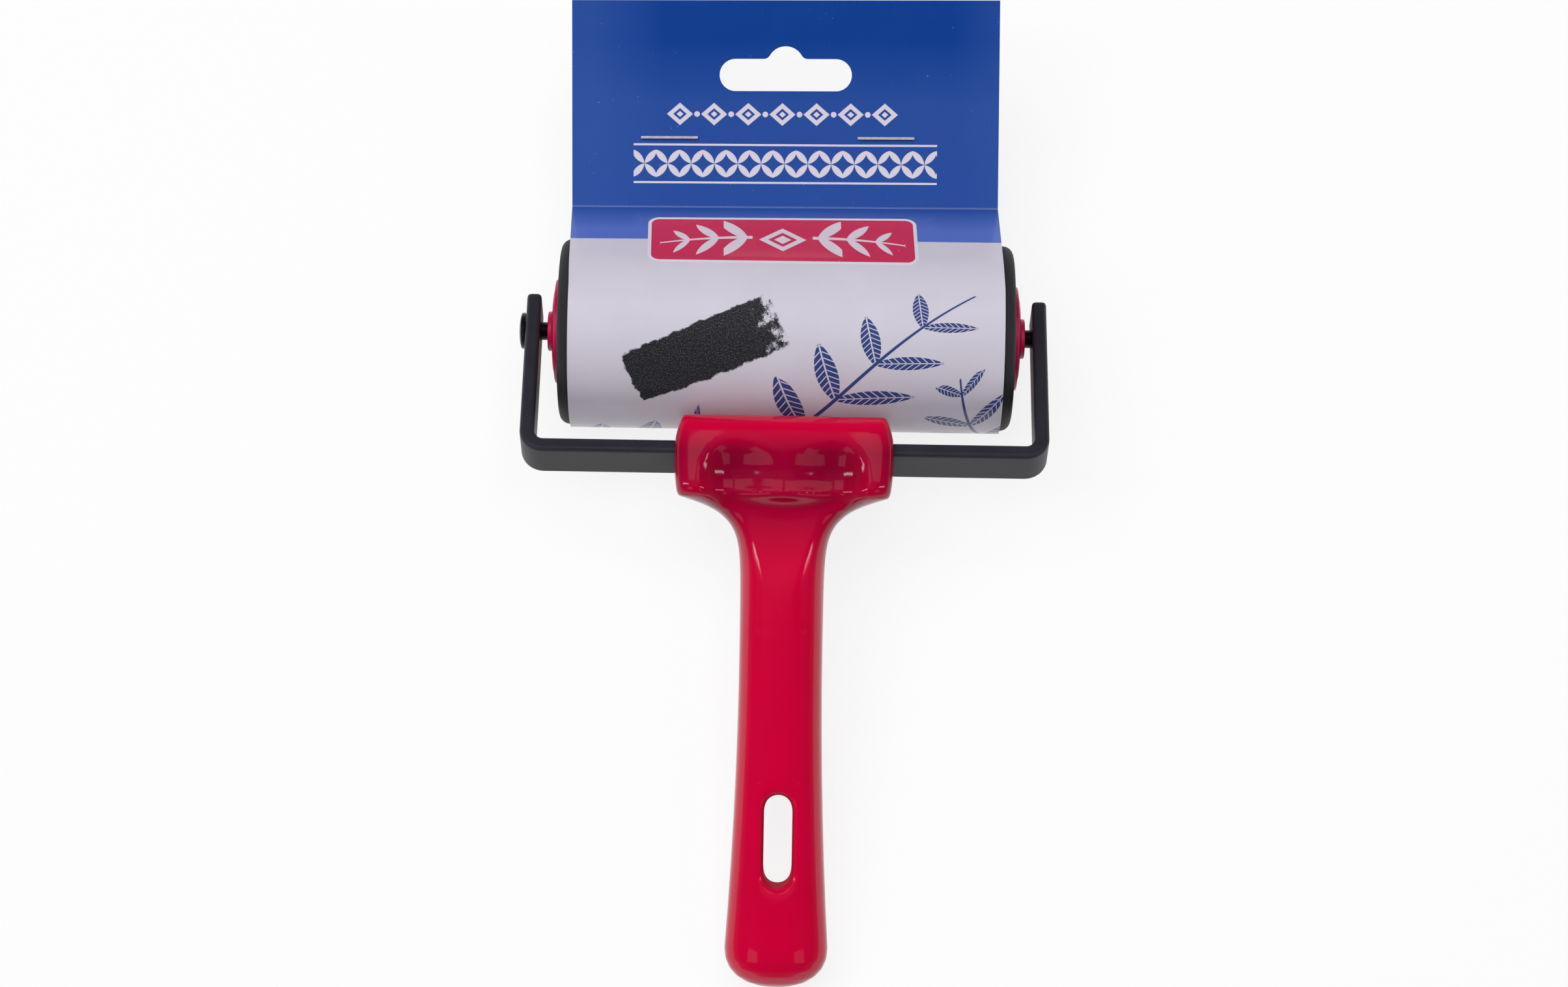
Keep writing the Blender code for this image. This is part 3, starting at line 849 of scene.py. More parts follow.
@dataclass(frozen=True)
class PrintedCard(Finish):
    """The card's printed outside under a gloss varnish, drawn on the card laid flat.

    Its coordinates are millimetres across the card from its middle and along it from the header's
    top edge: a blue header, a red label and, round the roller, leaves and a rolled-out ink patch.
    """

    crease: float = 46.0
    blue_end: float = 59.3
    back_start: float = 170.5
    # Where the flap's paler blue, a painted reflection, fades in and ends.
    flap_reflection_end: float = 100.0
    flap_reflection_fade: Pair = (4.5, 9.0)
    # Painted sheen: where the header's blue lightens below its top and away from its middle, and how
    # much.
    sheen_top_fade: Pair = (16.0, 14.0)
    sheen_side_fade: Pair = (40.0, 16.0)
    sheen_side_middle: float = 5.0
    painted_sheen_fade: float = 0.65
    border_line: float = 36.2
    border_pitch: float = 5.2
    border_half: float = 33.8
    border_shift: float = 60.0
    border_end: float = 50.0
    petal_lean: float = math.radians(48)
    petal: Triple = (2.1, 2.6, 3.3)
    rule_offset: float = 4.2
    rule_half: float = 0.22
    row_line: float = 25.2
    row_pitch: float = 7.6
    row_shift: float = 76.7
    row_offset: float = 0.7
    row_half: float = 25.8
    row_lozenge: Pair = (2.9, 2.5)
    row_dot: float = 0.62
    label_middle: Point = (-0.7, 59.2)
    label_half: Pair = (29.7, 8.8)
    label_round: float = 2.6
    label_border: float = 0.75
    label_lozenge: Pair = (5.2, 4.4)
    sprig: Frond = Frond((6.4, 58.4), 0.0, 20.5, 6.6, cut=0.0)
    patch_middle: Point = (-17.5, 89.0)
    patch_turn: float = math.radians(-24)
    patch_half: Pair = (17.5, 6.2)
    fronds: tuple[Frond, ...] = (
        Frond((3.0, 112.0), math.radians(-60), 50.0, 12.4),
        Frond((45.0, 121.0), math.radians(-114), 27.0, 11.0),
        Frond((-44.0, 130.0), math.radians(-32), 60.0, 12.6),
        Frond((34.0, 156.0), math.radians(-160), 68.0, 13.0),
    )
    # The lighter blue carries the painted sheen; the deep blue is the header without it.
    blue: Colour = (0.0260, 0.0790, 0.3370)
    blue_without_sheen: Colour = (0.0006, 0.0415, 0.2570)
    # The flap's paler blue is a painted reflection.
    blue_flap_painted_reflection: Colour = (0.0880, 0.1500, 0.5000)
    ground: Colour = (0.610, 0.580, 0.670)
    ground_deep: Colour = (0.545, 0.510, 0.590)
    ink_blue: Colour = (0.0330, 0.0540, 0.2000)
    ink_black: Colour = (0.0165, 0.0165, 0.0200)
    ink_thin: Colour = (0.0600, 0.0590, 0.0680)
    red: Colour = (0.545, 0.0295, 0.0835)
    pale: Colour = (0.680, 0.640, 0.720)
    crisp: float = 0.1
    rough: Pair = (0.30, 0.08)
    relief: Pair = (0.2, 0.00006)
    name: str = "varnished_print"

    def sockets(self, graph: Graph) -> dict[str, Any]:
        """The print, the varnish and the paper's relief.

        Args:
            graph: The material's graph.

        Returns:
            Values and links by socket name.
        """
        sheet = self._sheet(graph)
        fibre, cloud = sheet.fibre, sheet.cloud
        colour = self._ground(sheet)
        for layer in (self._ink_patch, self._leaves, self._header, self._label):
            colour = layer(sheet, colour)
        crease = self._crease(sheet)
        colour = graph.mix(crease * 0.16, colour, self.pale)
        specks = graph.noise(sheet.flat, 160.0, 1.0).above(0.8, 0.02)
        colour = graph.mix(specks * 0.35, colour, self.pale)
        return {
            "Base Color": colour,
            "Roughness": self.rough[0] + fibre * self.rough[1] + crease * 0.15,
            "Specular IOR Level": 0.12,
            "Coat Weight": 0.45 - crease * 0.3,
            "Coat Roughness": 0.09,
            "Normal": graph.bump(fibre + cloud * 2.0 + crease * 0.8, *self.relief),
        }

    @staticmethod
    def _sheet(graph: Graph) -> Sheet:
        """Reads the card's flat map.

        Args:
            graph: The material's graph.

        Returns:
            The card laid flat.
        """
        flat = graph.node("ShaderNodeUVMap", {"uv_map": HangCard.FLAT_MAP}, {}).outputs[0]
        u, v, _ = graph.axes(flat)
        across, along = u * HangCard.FLAT_MILLIMETRES, v * HangCard.FLAT_MILLIMETRES
        fibre = graph.noise(flat, 420.0, 4.0, 0.6)
        cloud = graph.noise(flat, 9.0, 3.0)
        return Sheet(graph, flat, across, along, fibre, cloud)

    def _ground(self, sheet: Sheet) -> Any:
        """The pale printed paper round the roller."""
        shade = sheet.cloud.above(0.5, 0.7) * 0.6 + sheet.fibre * 0.3
        return sheet.graph.mix(shade, self.ground, self.ground_deep)

    def _ink_patch(self, sheet: Sheet, colour: Any) -> Any:
        """Prints a patch of black ink, rolled out on the slant and running dry at one end.

        Args:
            sheet: The card laid flat.
            colour: The colour so far.

        Returns:
            The colour with the patch.
        """
        graph = sheet.graph
        s, t = turned_axes(sheet.across, sheet.along, self.patch_middle, self.patch_turn)
        rough = graph.noise(sheet.flat, 38.0, 5.0, 0.62)
        tack = graph.noise(sheet.flat, 330.0)
        long, wide = self.patch_half
        edge = (abs(s) - long).most(abs(t) - wide) + (rough - 0.5) * 2.6
        dry = (rough * 0.7 + tack * 0.3).above((s - 8.0) * 0.030 + 0.25, 0.10)
        thin = graph.mix(tack.above(0.56, 0.12), self.ink_black, self.ink_thin)
        return graph.mix(edge.below(0.0, 0.35) * dry, colour, thin)

    def _leaves(self, sheet: Sheet, colour: Any) -> Any:
        """Prints the fronds, cut in the manner of a lino block, in dark blue.

        Args:
            sheet: The card laid flat.
            colour: The colour so far.

        Returns:
            The colour with the fronds.
        """
        first, *others = self.fronds
        printed = first.mask(sheet.across, sheet.along)
        for frond in others:
            printed = printed.most(frond.mask(sheet.across, sheet.along))
        return sheet.graph.mix(printed, colour, self.ink_blue)

    def _header(self, sheet: Sheet, colour: Any) -> Any:
        """Prints both header layers' blue with a painted sheen, and a row of lozenges over a leaf
        border.

        Args:
            sheet: The card laid flat.
            colour: The colour so far.

        Returns:
            The colour with the header.
        """
        graph, across, along = sheet.graph, sheet.across, sheet.along
        # Painted sheen: the blue lightens towards the header's foot and sides, with a random tone on
        # top.
        depth = 1 - along.above(*self.sheen_top_fade) * self.painted_sheen_fade
        inner = 1 - abs(across - self.sheen_side_middle).above(*self.sheen_side_fade) * self.painted_sheen_fade
        shade = depth * inner + (sheet.cloud - 0.5) * 0.2
        blue = graph.mix(shade, self.blue, self.blue_without_sheen)
        # Painted reflection: the blue is paler on the flap.
        start, soft = self.flap_reflection_fade
        flap = along.above(self.crease + start, soft) * along.below(self.flap_reflection_end, 1.0)
        blue = graph.mix(flap, blue, self.blue_flap_painted_reflection)
        inked = along.below(self.blue_end, 0.12).most(along.above(self.back_start, 0.12))
        colour = graph.mix(inked, colour, blue)
        rows = self._border(across, along).most(self._lozenges(across, along))
        return graph.mix(rows * 0.92, colour, self.pale)

    def _border(self, across: Socket, along: Socket) -> Socket:
        """A border of crossed petals between two rules.

        Args:
            across: Place across the card.
            along: Place along the card.

        Returns:
            1 on the border and 0 off it.
        """
        into = abs((across + self.border_shift) % self.border_pitch - self.border_pitch / 2)
        height = abs(along - self.border_line)
        cos, sin = math.cos(self.petal_lean), math.sin(self.petal_lean)
        ahead = into * cos + height * sin
        beside = height * cos - into * sin
        half, inset, radius = self.petal
        lens = (ahead - half).reach(abs(beside) + inset) - radius
        rules = abs(height - self.rule_offset).below(self.rule_half, self.crisp)
        border = lens.below(0.0, self.crisp).most(rules)
        border = border * abs(across).below(self.border_half, self.crisp)
        return border * along.below(self.border_end, self.crisp)

    def _lozenges(self, across: Socket, along: Socket) -> Socket:
        """A row of lozenges with open middles, a dot between each two.

        Args:
            across: Place across the card.
            along: Place along the card.

        Returns:
            1 on the row and 0 off it.
        """
        half_pitch = self.row_pitch / 2
        into = abs((across + self.row_shift) % self.row_pitch - half_pitch)
        height = abs(along - self.row_line)
        wide, high = self.row_lozenge
        lozenge = (half_pitch - into) / wide + height / high
        ring = lozenge.below(1.0, 0.04) * lozenge.above(0.52, 0.04)
        dot = into.reach(height).below(self.row_dot, self.crisp)
        middle = lozenge.below(0.26, 0.04)
        row = ring.most(dot).most(middle)
        return row * abs(across + self.row_offset).below(self.row_half, self.crisp)

    def _label(self, sheet: Sheet, colour: Any) -> Any:
        """Prints a red label with round corners, a pale border and a lozenge between two sprigs.

        Args:
            sheet: The card laid flat.
            colour: The colour so far.

        Returns:
            The colour with the label.
        """
        graph = sheet.graph
        wide = abs(sheet.across - self.label_middle[0])
        high = abs(sheet.along - self.label_middle[1])
        x = (wide - (self.label_half[0] - self.label_round)).most(0.0)
        y = (high - (self.label_half[1] - self.label_round)).most(0.0)
        edge = x.reach(y) - self.label_round
        colour = graph.mix(edge.below(0.0, self.crisp), colour, self.pale)
        colour = graph.mix(edge.below(-self.label_border, self.crisp), colour, self.red)
        lozenge = wide / self.label_lozenge[0] + high / self.label_lozenge[1]
        ring = lozenge.below(1.0, 0.05) * lozenge.above(0.62, 0.05)
        sprigs = self.sprig.mask(wide, sheet.along)
        motif = ring.most(lozenge.below(0.36, 0.05)).most(sprigs)
        return graph.mix(motif * 0.9, colour, self.pale)

    def _crease(self, sheet: Sheet) -> Socket:
        """Cracked varnish along the crease."""
        return abs(sheet.along - self.crease).below(0.25, 0.3) * sheet.fibre.above(0.42, 0.2)


# Modelling


class Bench:
    """Blender's modelling operators, used as by hand."""

    TURNED_SMOOTH = math.radians(32)
    BEVEL_ANGLE = math.radians(40)
    PIN_STEPS = 64

    @staticmethod
    def clear_selection() -> None:
        """Goes back to object mode with nothing selected."""
        if bpy.context.mode != "OBJECT":
            bpy.ops.object.mode_set(mode="OBJECT")
        bpy.ops.object.select_all(action="DESELECT")

    @staticmethod
    def activate(piece: bpy.types.Object) -> None:
        """Makes a piece the only one selected.

        Args:
            piece: The piece.
        """
        Bench.clear_selection()
        piece.select_set(True)
        bpy.context.view_layer.objects.active = piece

    @staticmethod
    def start(
        name: str, add: Callable[..., Any], stretch: Triple = (1, 1, 1), **settings: Any
    ) -> bpy.types.Object:
        """Adds a primitive with its size and place in its mesh.

        Args:
            name: The piece's name.
            add: The operator that adds the primitive.
            stretch: Its stretch along its own axes.
            settings: The operator's settings.

        Returns:
            The new piece.
        """
        Bench.clear_selection()
        add(**settings)
        piece = bpy.context.active_object
        piece.name = piece.data.name = name
        piece.scale = stretch
        bpy.ops.object.transform_apply(location=True, rotation=True, scale=True)
        return piece

    @staticmethod
    def plate(name: str, size: Triple, **place: Any) -> bpy.types.Object:
        """Adds a flat plate of a size."""
        return Bench.start(name, bpy.ops.mesh.primitive_plane_add, size, size=1, **place)

    @staticmethod
    def block(name: str, size: Triple, **place: Any) -> bpy.types.Object:
        """Adds a block of a size."""
        return Bench.start(name, bpy.ops.mesh.primitive_cube_add, size, size=1, **place)

    @staticmethod
    def pin(name: str, radius: float, depth: float, **place: Any) -> bpy.types.Object:
        """Adds a round pin, upright unless it is turned."""
        size = {"vertices": Bench.PIN_STEPS, "radius": radius, "depth": depth}
        return Bench.start(name, bpy.ops.mesh.primitive_cylinder_add, **size, **place)

    @staticmethod
    def edit(piece: bpy.types.Object) -> None:
        """Goes into edit mode with everything selected.

        Args:
            piece: The piece.
        """
        Bench.activate(piece)
        bpy.ops.object.mode_set(mode="EDIT")
        bpy.ops.mesh.select_all(action="SELECT")

    @staticmethod
    def select(piece: bpy.types.Object, kind: Pick, test: Callable[[Vector, Vector], bool]) -> None:
        """Selects elements in edit mode by their place.

        Args:
            piece: The piece being edited.
            kind: Vertices, edges or faces.
            test: Takes an element's middle and its normal, or an edge's direction.
        """
        bpy.ops.mesh.select_mode(type=kind.value)
        bpy.ops.mesh.select_all(action="DESELECT")
        shape = bmesh.from_edit_mesh(piece.data)
        if kind is Pick.VERTS:
            for vertex in shape.verts:
                vertex.select_set(test(vertex.co, vertex.normal))
        elif kind is Pick.EDGES:
            for edge in shape.edges:
                first, second = edge.verts[0].co, edge.verts[1].co
                edge.select_set(test((first + second) / 2, second - first))
        else:
            for face in shape.faces:
                face.select_set(test(face.calc_center_median(), face.normal))
        shape.select_flush_mode()
        bmesh.update_edit_mesh(piece.data)

    @staticmethod
    def draw_faces(x: float, y: float, z: float) -> None:
        """Draws the selected faces out by a step."""
        bpy.ops.mesh.extrude_region_move(TRANSFORM_OT_translate={"value": (x, y, z)})

    @staticmethod
    def draw_edges(x: float, y: float, z: float) -> None:
        """Draws the selected edges out by a step."""
        bpy.ops.mesh.extrude_edges_move(TRANSFORM_OT_translate={"value": (x, y, z)})

    @staticmethod
    def modify(piece: bpy.types.Object, kind: Modifier, **settings: Any) -> None:
        """Adds a modifier and applies it.

        Args:
            piece: The piece.
            kind: The modifier's type.
            settings: The modifier's settings.
        """
        Bench.activate(piece)
        modifier = piece.modifiers.new(kind.name.title(), kind.value)
        for name, setting in settings.items():
            setattr(modifier, name, setting)
        bpy.ops.object.modifier_apply(modifier=modifier.name)

    @staticmethod
    def round_edges(piece: bpy.types.Object, width: float, steps: int) -> None:
        """Bevels the sharp edges of a piece."""
        settings = {"limit_method": "ANGLE", "angle_limit": Bench.BEVEL_ANGLE}
        Bench.modify(piece, Modifier.BEVEL, width=width, segments=steps, **settings)

    @staticmethod
    def combine(piece: bpy.types.Object, other: bpy.types.Object, how: Merge) -> None:
        """Joins a piece with another or cuts it, and takes the other away.

        Args:
            piece: The piece.
            other: The other shape.
            how: Whether it is joined on or cut out.
        """
        settings = {"operation": how.value, "object": other, "solver": "EXACT"}
        Bench.modify(piece, Modifier.BOOLEAN, **settings)
        bpy.data.objects.remove(other)

    @staticmethod
    def move(piece: bpy.types.Object, place: Matrix) -> None:
        """Moves a piece from its working frame to its place, which goes into its mesh.

        Args:
            piece: The piece.
            place: The working frame's place.
        """
        Bench.activate(piece)
        piece.matrix_world = place
        bpy.ops.object.transform_apply(location=True, rotation=True, scale=True)

    @staticmethod
    def shade(piece: bpy.types.Object, angle: float) -> None:
        """Shades a piece smooth below an angle."""
        Bench.activate(piece)
        bpy.ops.object.shade_smooth_by_angle(angle=angle)

    @staticmethod
    def close(piece: bpy.types.Object, angle: float) -> None:
        """Merges doubles, turns faces outwards and shades smooth below an angle.

        Args:
            piece: The piece.
            angle: The angle.
        """
        Bench.edit(piece)
        bpy.ops.mesh.remove_doubles(threshold=MERGE_DISTANCE)
        bpy.ops.mesh.normals_make_consistent(inside=False)
        bpy.ops.object.mode_set(mode="OBJECT")
        bpy.ops.object.shade_smooth_by_angle(angle=angle)

    @staticmethod
    def turned(
        name: str, profile: Sequence[Point], segments: int, closed: bool
    ) -> bpy.types.Object:
        """Turns a profile about X by extruding and scaling a circle.

        Args:
            name: The piece's name.
            profile: Points as (x, radius).
            segments: Steps round the axis.
            closed: Whether the profile closes on itself; its ends are filled if it doesn't.

        Returns:
            The turned piece.
        """
        points = [*profile, profile[0]] if closed else list(profile)
        x, radius = points[0]
        add = bpy.ops.mesh.primitive_circle_add
        place = {"location": (x, 0, 0), "rotation": (0, QUARTER_TURN, 0)}
        piece = Bench.start(name, add, vertices=segments, radius=radius, **place)
        Bench.edit(piece)
        for (old_x, old_radius), (new_x, new_radius) in zip(points, points[1:]):
            Bench.draw_edges(new_x - old_x, 0, 0)
            ratio = new_radius / old_radius
            bpy.ops.transform.resize(value=(1, ratio, ratio), center_override=(new_x, 0, 0))
        if not closed:
            bpy.ops.mesh.select_all(action="SELECT")
            bpy.ops.mesh.fill_holes(sides=0)
        Bench.close(piece, Bench.TURNED_SMOOTH)
        return piece

    @staticmethod
    def dress(piece: bpy.types.Object, body: Body, slot: str, *finishes: Finish) -> None:
        """Gives a finished piece its materials and its body, and reports it.

        Args:
            piece: The piece.
            body: The body that it moves with.
            slot: The record's material slot; not used.
            finishes: Its finishes; none where it has them already.
        """
        for finish in finishes:
            piece.data.materials.append(finish.material())
        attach(piece, body.value)
        report(piece)


def report(piece: bpy.types.Object) -> None:
    """Logs a finished piece."""
    LOG.info("%s: %d faces", piece.name, len(piece.data.polygons))


def arc(middle: Point, radius: float, start: float, end: float, steps: int) -> list[Point]:
    """Points on an arc.

    Args:
        middle: The arc's middle.
        radius: Its radius.
        start: Where it starts, in degrees.
        end: Where it ends, in degrees.
        steps: How many steps it has.

    Returns:
        The points, both ends included.
    """
    points = []
    for i in range(steps + 1):
        angle = math.radians(start + (end - start) * i / steps)
        points.append((middle[0] + radius * math.cos(angle), middle[1] + radius * math.sin(angle)))
    return points


# The brayer


@dataclass(frozen=True)
class Layout:
    """Where the frame's own working frames lie."""

    axle: Vector
    handle_turn: float
    crank: float = math.radians(30)
    card_lift: float = math.radians(18.5)
    crossbar: float = 0.0319

    @classmethod
    def read(cls, frame: dict[str, Any]) -> "Layout":
        """Reads the axle's place and the handle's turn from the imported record.

        Args:
            frame: The loaded frame.

        Returns:
            The layout.
        """
        joint = next(joint for joint in frame["joints"] if joint["name"] == "roller_spin")
        mounts = frame["record"]["mounts"]
        slot = next(mount for mount in mounts if mount["name"] == "hang_slot")
        _, y, z = slot["axis"]
        return cls(Vector(joint["pos_m"]), math.atan2(-y, z))

    @property
    def roller(self) -> Matrix:
        """The axle's middle, level with the bench."""
        return Matrix.Translation(self.axle)

    @property
    def tool(self) -> Matrix:
        """The strap's frame, its arms along Y."""
        return self.roller @ Matrix.Rotation(self.handle_turn - self.crank, 4, "X")

    @property
    def strap(self) -> Matrix:
        """The middle of the strap's crossbar."""
        return self.tool @ Matrix.Translation((0, -self.crossbar, 0))

    @property
    def handle(self) -> Matrix:
        """The handle's frame, the grip along -Y and +Z out of its thumb side."""
        return self.strap @ Matrix.Rotation(self.crank, 4, "X")

    @property
    def card(self) -> Matrix:
        """The card's frame, the header along +Y."""
        return self.roller @ Matrix.Rotation(self.card_lift, 4, "X")


@dataclass
class Handle:
    """The moulded handle: the dished head and the grip, channelled for the strap."""

    layout: Layout
    voxel: float = 0.0004
    smoothing: float = 0.5
    relax: int = 8
    neck_high: float = -0.0112
    neck_lows: tuple[float, ...] = (-0.0285, -0.0315, -0.0345, -0.0375)
    neck_level: float = 0.0015
    neck_relax: int = 18
    slot_reach: Pair = (-0.0960, -0.0700)
    slot_half: float = 0.0058
    slot_level: float = 0.0042
    slot_relax: int = 40
    strap: Pair = (0.0032, 0.0100)
    gap: float = 0.0003
    edge: float = 0.0012
    edge_steps: int = 5
    head_width: float = 0.048
    fill_inset: float = 0.001
    fill_growth: float = 0.0008
    cut_past: float = 0.01
    solid_smooth: float = math.radians(40)
    smooth: float = math.radians(38)

    def build(self, node: bpy.types.Object) -> bpy.types.Object:
        """Models the handle over its solid.

        Args:
            node: The handle's CAD node.

        Returns:
            The piece.
        """
        piece = bpy.data.objects.new("moulded_handle", node.data.copy())
        piece.data.materials.clear()
        bpy.context.scene.collection.objects.link(piece)
        Bench.close(piece, self.solid_smooth)
        fill = self._bar("channel_fill", self.head_width - self.fill_inset, self.fill_growth, 0.0)
        Bench.combine(piece, fill, Merge.JOIN)
        Bench.modify(piece, Modifier.REMESH, mode="VOXEL", voxel_size=self.voxel)
        Bench.modify(piece, Modifier.SMOOTH, factor=self.smoothing, iterations=self.relax)
        for low in self.neck_lows:
            self._soften(piece, lambda own, low=low: self._on_neck(own, low), self.neck_relax)
        self._soften(piece, self._on_slot_rim, self.slot_relax)
        channel = self._bar("channel_cut", self.head_width + self.cut_past, self.gap, self.edge)
        Bench.combine(piece, channel, Merge.CUT)
        Bench.shade(piece, self.smooth)
        return piece

    def _on_neck(self, own: Vector, low: float) -> bool:
        """Whether a place is on the thumb side of the neck, above a place along the handle."""
        return low < own.y < self.neck_high and own.z > self.neck_level

    def _on_slot_rim(self, own: Vector) -> bool:
        """Whether a place is on either rim of the hang slot."""
        low, high = self.slot_reach
        return low < own.y < high and abs(own.x) < self.slot_half and abs(own.z) > self.slot_level

    def _soften(
        self, piece: bpy.types.Object, test: Callable[[Vector], bool], repeat: int
    ) -> None:
        """Smooths a part of the handle.

        Args:
            piece: The handle.
            test: Whether a vertex, in the handle's frame, is smoothed.
            repeat: How often.
        """
        to_handle = self.layout.handle.inverted()
        Bench.edit(piece)
        Bench.select(piece, Pick.VERTS, lambda place, _: test(to_handle @ place))
        bpy.ops.mesh.vertices_smooth(factor=self.smoothing, repeat=repeat)
        bpy.ops.object.mode_set(mode="OBJECT")

    def _bar(self, name: str, length: float, growth: float, edge: float) -> bpy.types.Object:
        """A bar of the strap's section across the head.

        Args:
            name: The bar's name.
            length: Its length.
            growth: How much it is larger than the strap all round.
            edge: The round of its long edges.

        Returns:
            The bar.
        """
        size = (length, self.strap[0] + 2 * growth, self.strap[1] + 2 * growth)
        bar = Bench.block(name, size)
        if edge:
            Bench.edit(bar)
            Bench.select(bar, Pick.EDGES, lambda middle, way: abs(way.x) > length / 2)
            bpy.ops.mesh.bevel(offset=edge, segments=self.edge_steps, affect="EDGES")
        Bench.move(bar, self.layout.strap)
        return bar

    def dress(self, piece: bpy.types.Object) -> None:
        """Gives the handle its plastic.

        Args:
            piece: The handle.
        """
        middle = tuple(self.layout.handle.translation)
        plastic = GlossPlastic(middle=middle, turn=self.layout.handle_turn)
        Bench.dress(piece, Body.TOOL, "red_plastic", plastic)
        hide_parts("handle")


@dataclass
class StrapFrame:
    """The steel strap, bent into a U and drilled for the axle."""

    layout: Layout
    width: float = 0.0100
    thickness: float = 0.0032
    edge: float = 0.0009
    edge_steps: int = 4
    bend: float = 0.0020
    bend_steps: int = 14
    arm_middle: float = 0.0561
    arm_tip: float = 0.0070
    drill: float = 0.0023
    smooth: float = math.radians(30)

    def build(self) -> bpy.types.Object:
        """Models the strap: a flat end, drawn out along the arm and spun round the bends.

        Returns:
            The piece.
        """
        turn = self.bend + self.thickness / 2
        low = turn - self.layout.crossbar
        size = (self.thickness, self.width, 1)
        start = (-self.arm_middle, self.arm_tip, 0)
        piece = Bench.plate("strap_frame", size, location=start, rotation=(QUARTER_TURN, 0, 0))
        Bench.edit(piece)
        Bench.draw_faces(0, low - self.arm_tip, 0)
        self._spin((turn - self.arm_middle, low, 0))
        Bench.draw_faces(2 * (self.arm_middle - turn), 0, 0)
        self._spin((self.arm_middle - turn, low, 0))
        Bench.draw_faces(0, self.arm_tip - low, 0)
        Bench.edit(piece)
        bpy.ops.mesh.select_all(action="DESELECT")
        bpy.ops.mesh.select_interior_faces()
        bpy.ops.mesh.delete(type="FACE")
        Bench.close(piece, self.smooth)
        Bench.round_edges(piece, self.edge, self.edge_steps)
        reach = 2 * self.arm_middle + 4 * self.thickness
        drill = Bench.pin("drill", self.drill, reach, rotation=(0, QUARTER_TURN, 0))
        Bench.combine(piece, drill, Merge.CUT)
        Bench.close(piece, self.smooth)
        Bench.move(piece, self.layout.tool)
        return piece

    def _spin(self, middle: Triple) -> None:
        """Spins the selected end a quarter turn about a bend's middle."""
        turn = {"angle": QUARTER_TURN, "center": middle, "axis": (0, 0, -1)}
        bpy.ops.mesh.spin(steps=self.bend_steps, **turn)

    def dress(self, piece: bpy.types.Object) -> None:
        """Gives the strap its coat."""
        Bench.dress(piece, Body.TOOL, "black_coat", PowderCoat())
        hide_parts("frame")


@dataclass
class Axle:
    """The axle with its button head outside the left arm."""

    layout: Layout
    radius: float = 0.0020
    arm_outer: float = 0.0577
    seat: float = 0.0003
    head_radius: float = 0.0040
    head_height: float = 0.0013
    head_rim: float = 0.0006
    head_steps: int = 9
    tail_recess: float = 0.0002
    tail_edge: float = 0.0003
    segments: int = 64

    def build(self) -> bpy.types.Object:
        """Models the axle from the crown of its head to its tail.

        Returns:
            The piece.
        """
        under = -self.arm_outer - self.seat
        tail = self.arm_outer - self.tail_recess
        profile = []
        for step in range(1, self.head_steps + 1):
            turn = math.radians(90 * step / self.head_steps)
            rise = (self.head_height - self.head_rim) * math.cos(turn)
            profile.append((under - self.head_rim - rise, self.head_radius * math.sin(turn)))
        profile += [
            (under, self.head_radius),
            (under, self.radius),
            (tail - self.tail_edge, self.radius),
            (tail, self.radius - self.tail_edge),
        ]
        piece = Bench.turned("axle_rod", profile, self.segments, closed=False)
        Bench.move(piece, self.layout.tool)
        return piece

    def dress(self, piece: bpy.types.Object) -> None:
        """Gives the axle its blackened steel."""
        Bench.dress(piece, Body.TOOL, "black_steel", BlackSteel())
        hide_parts("axle")


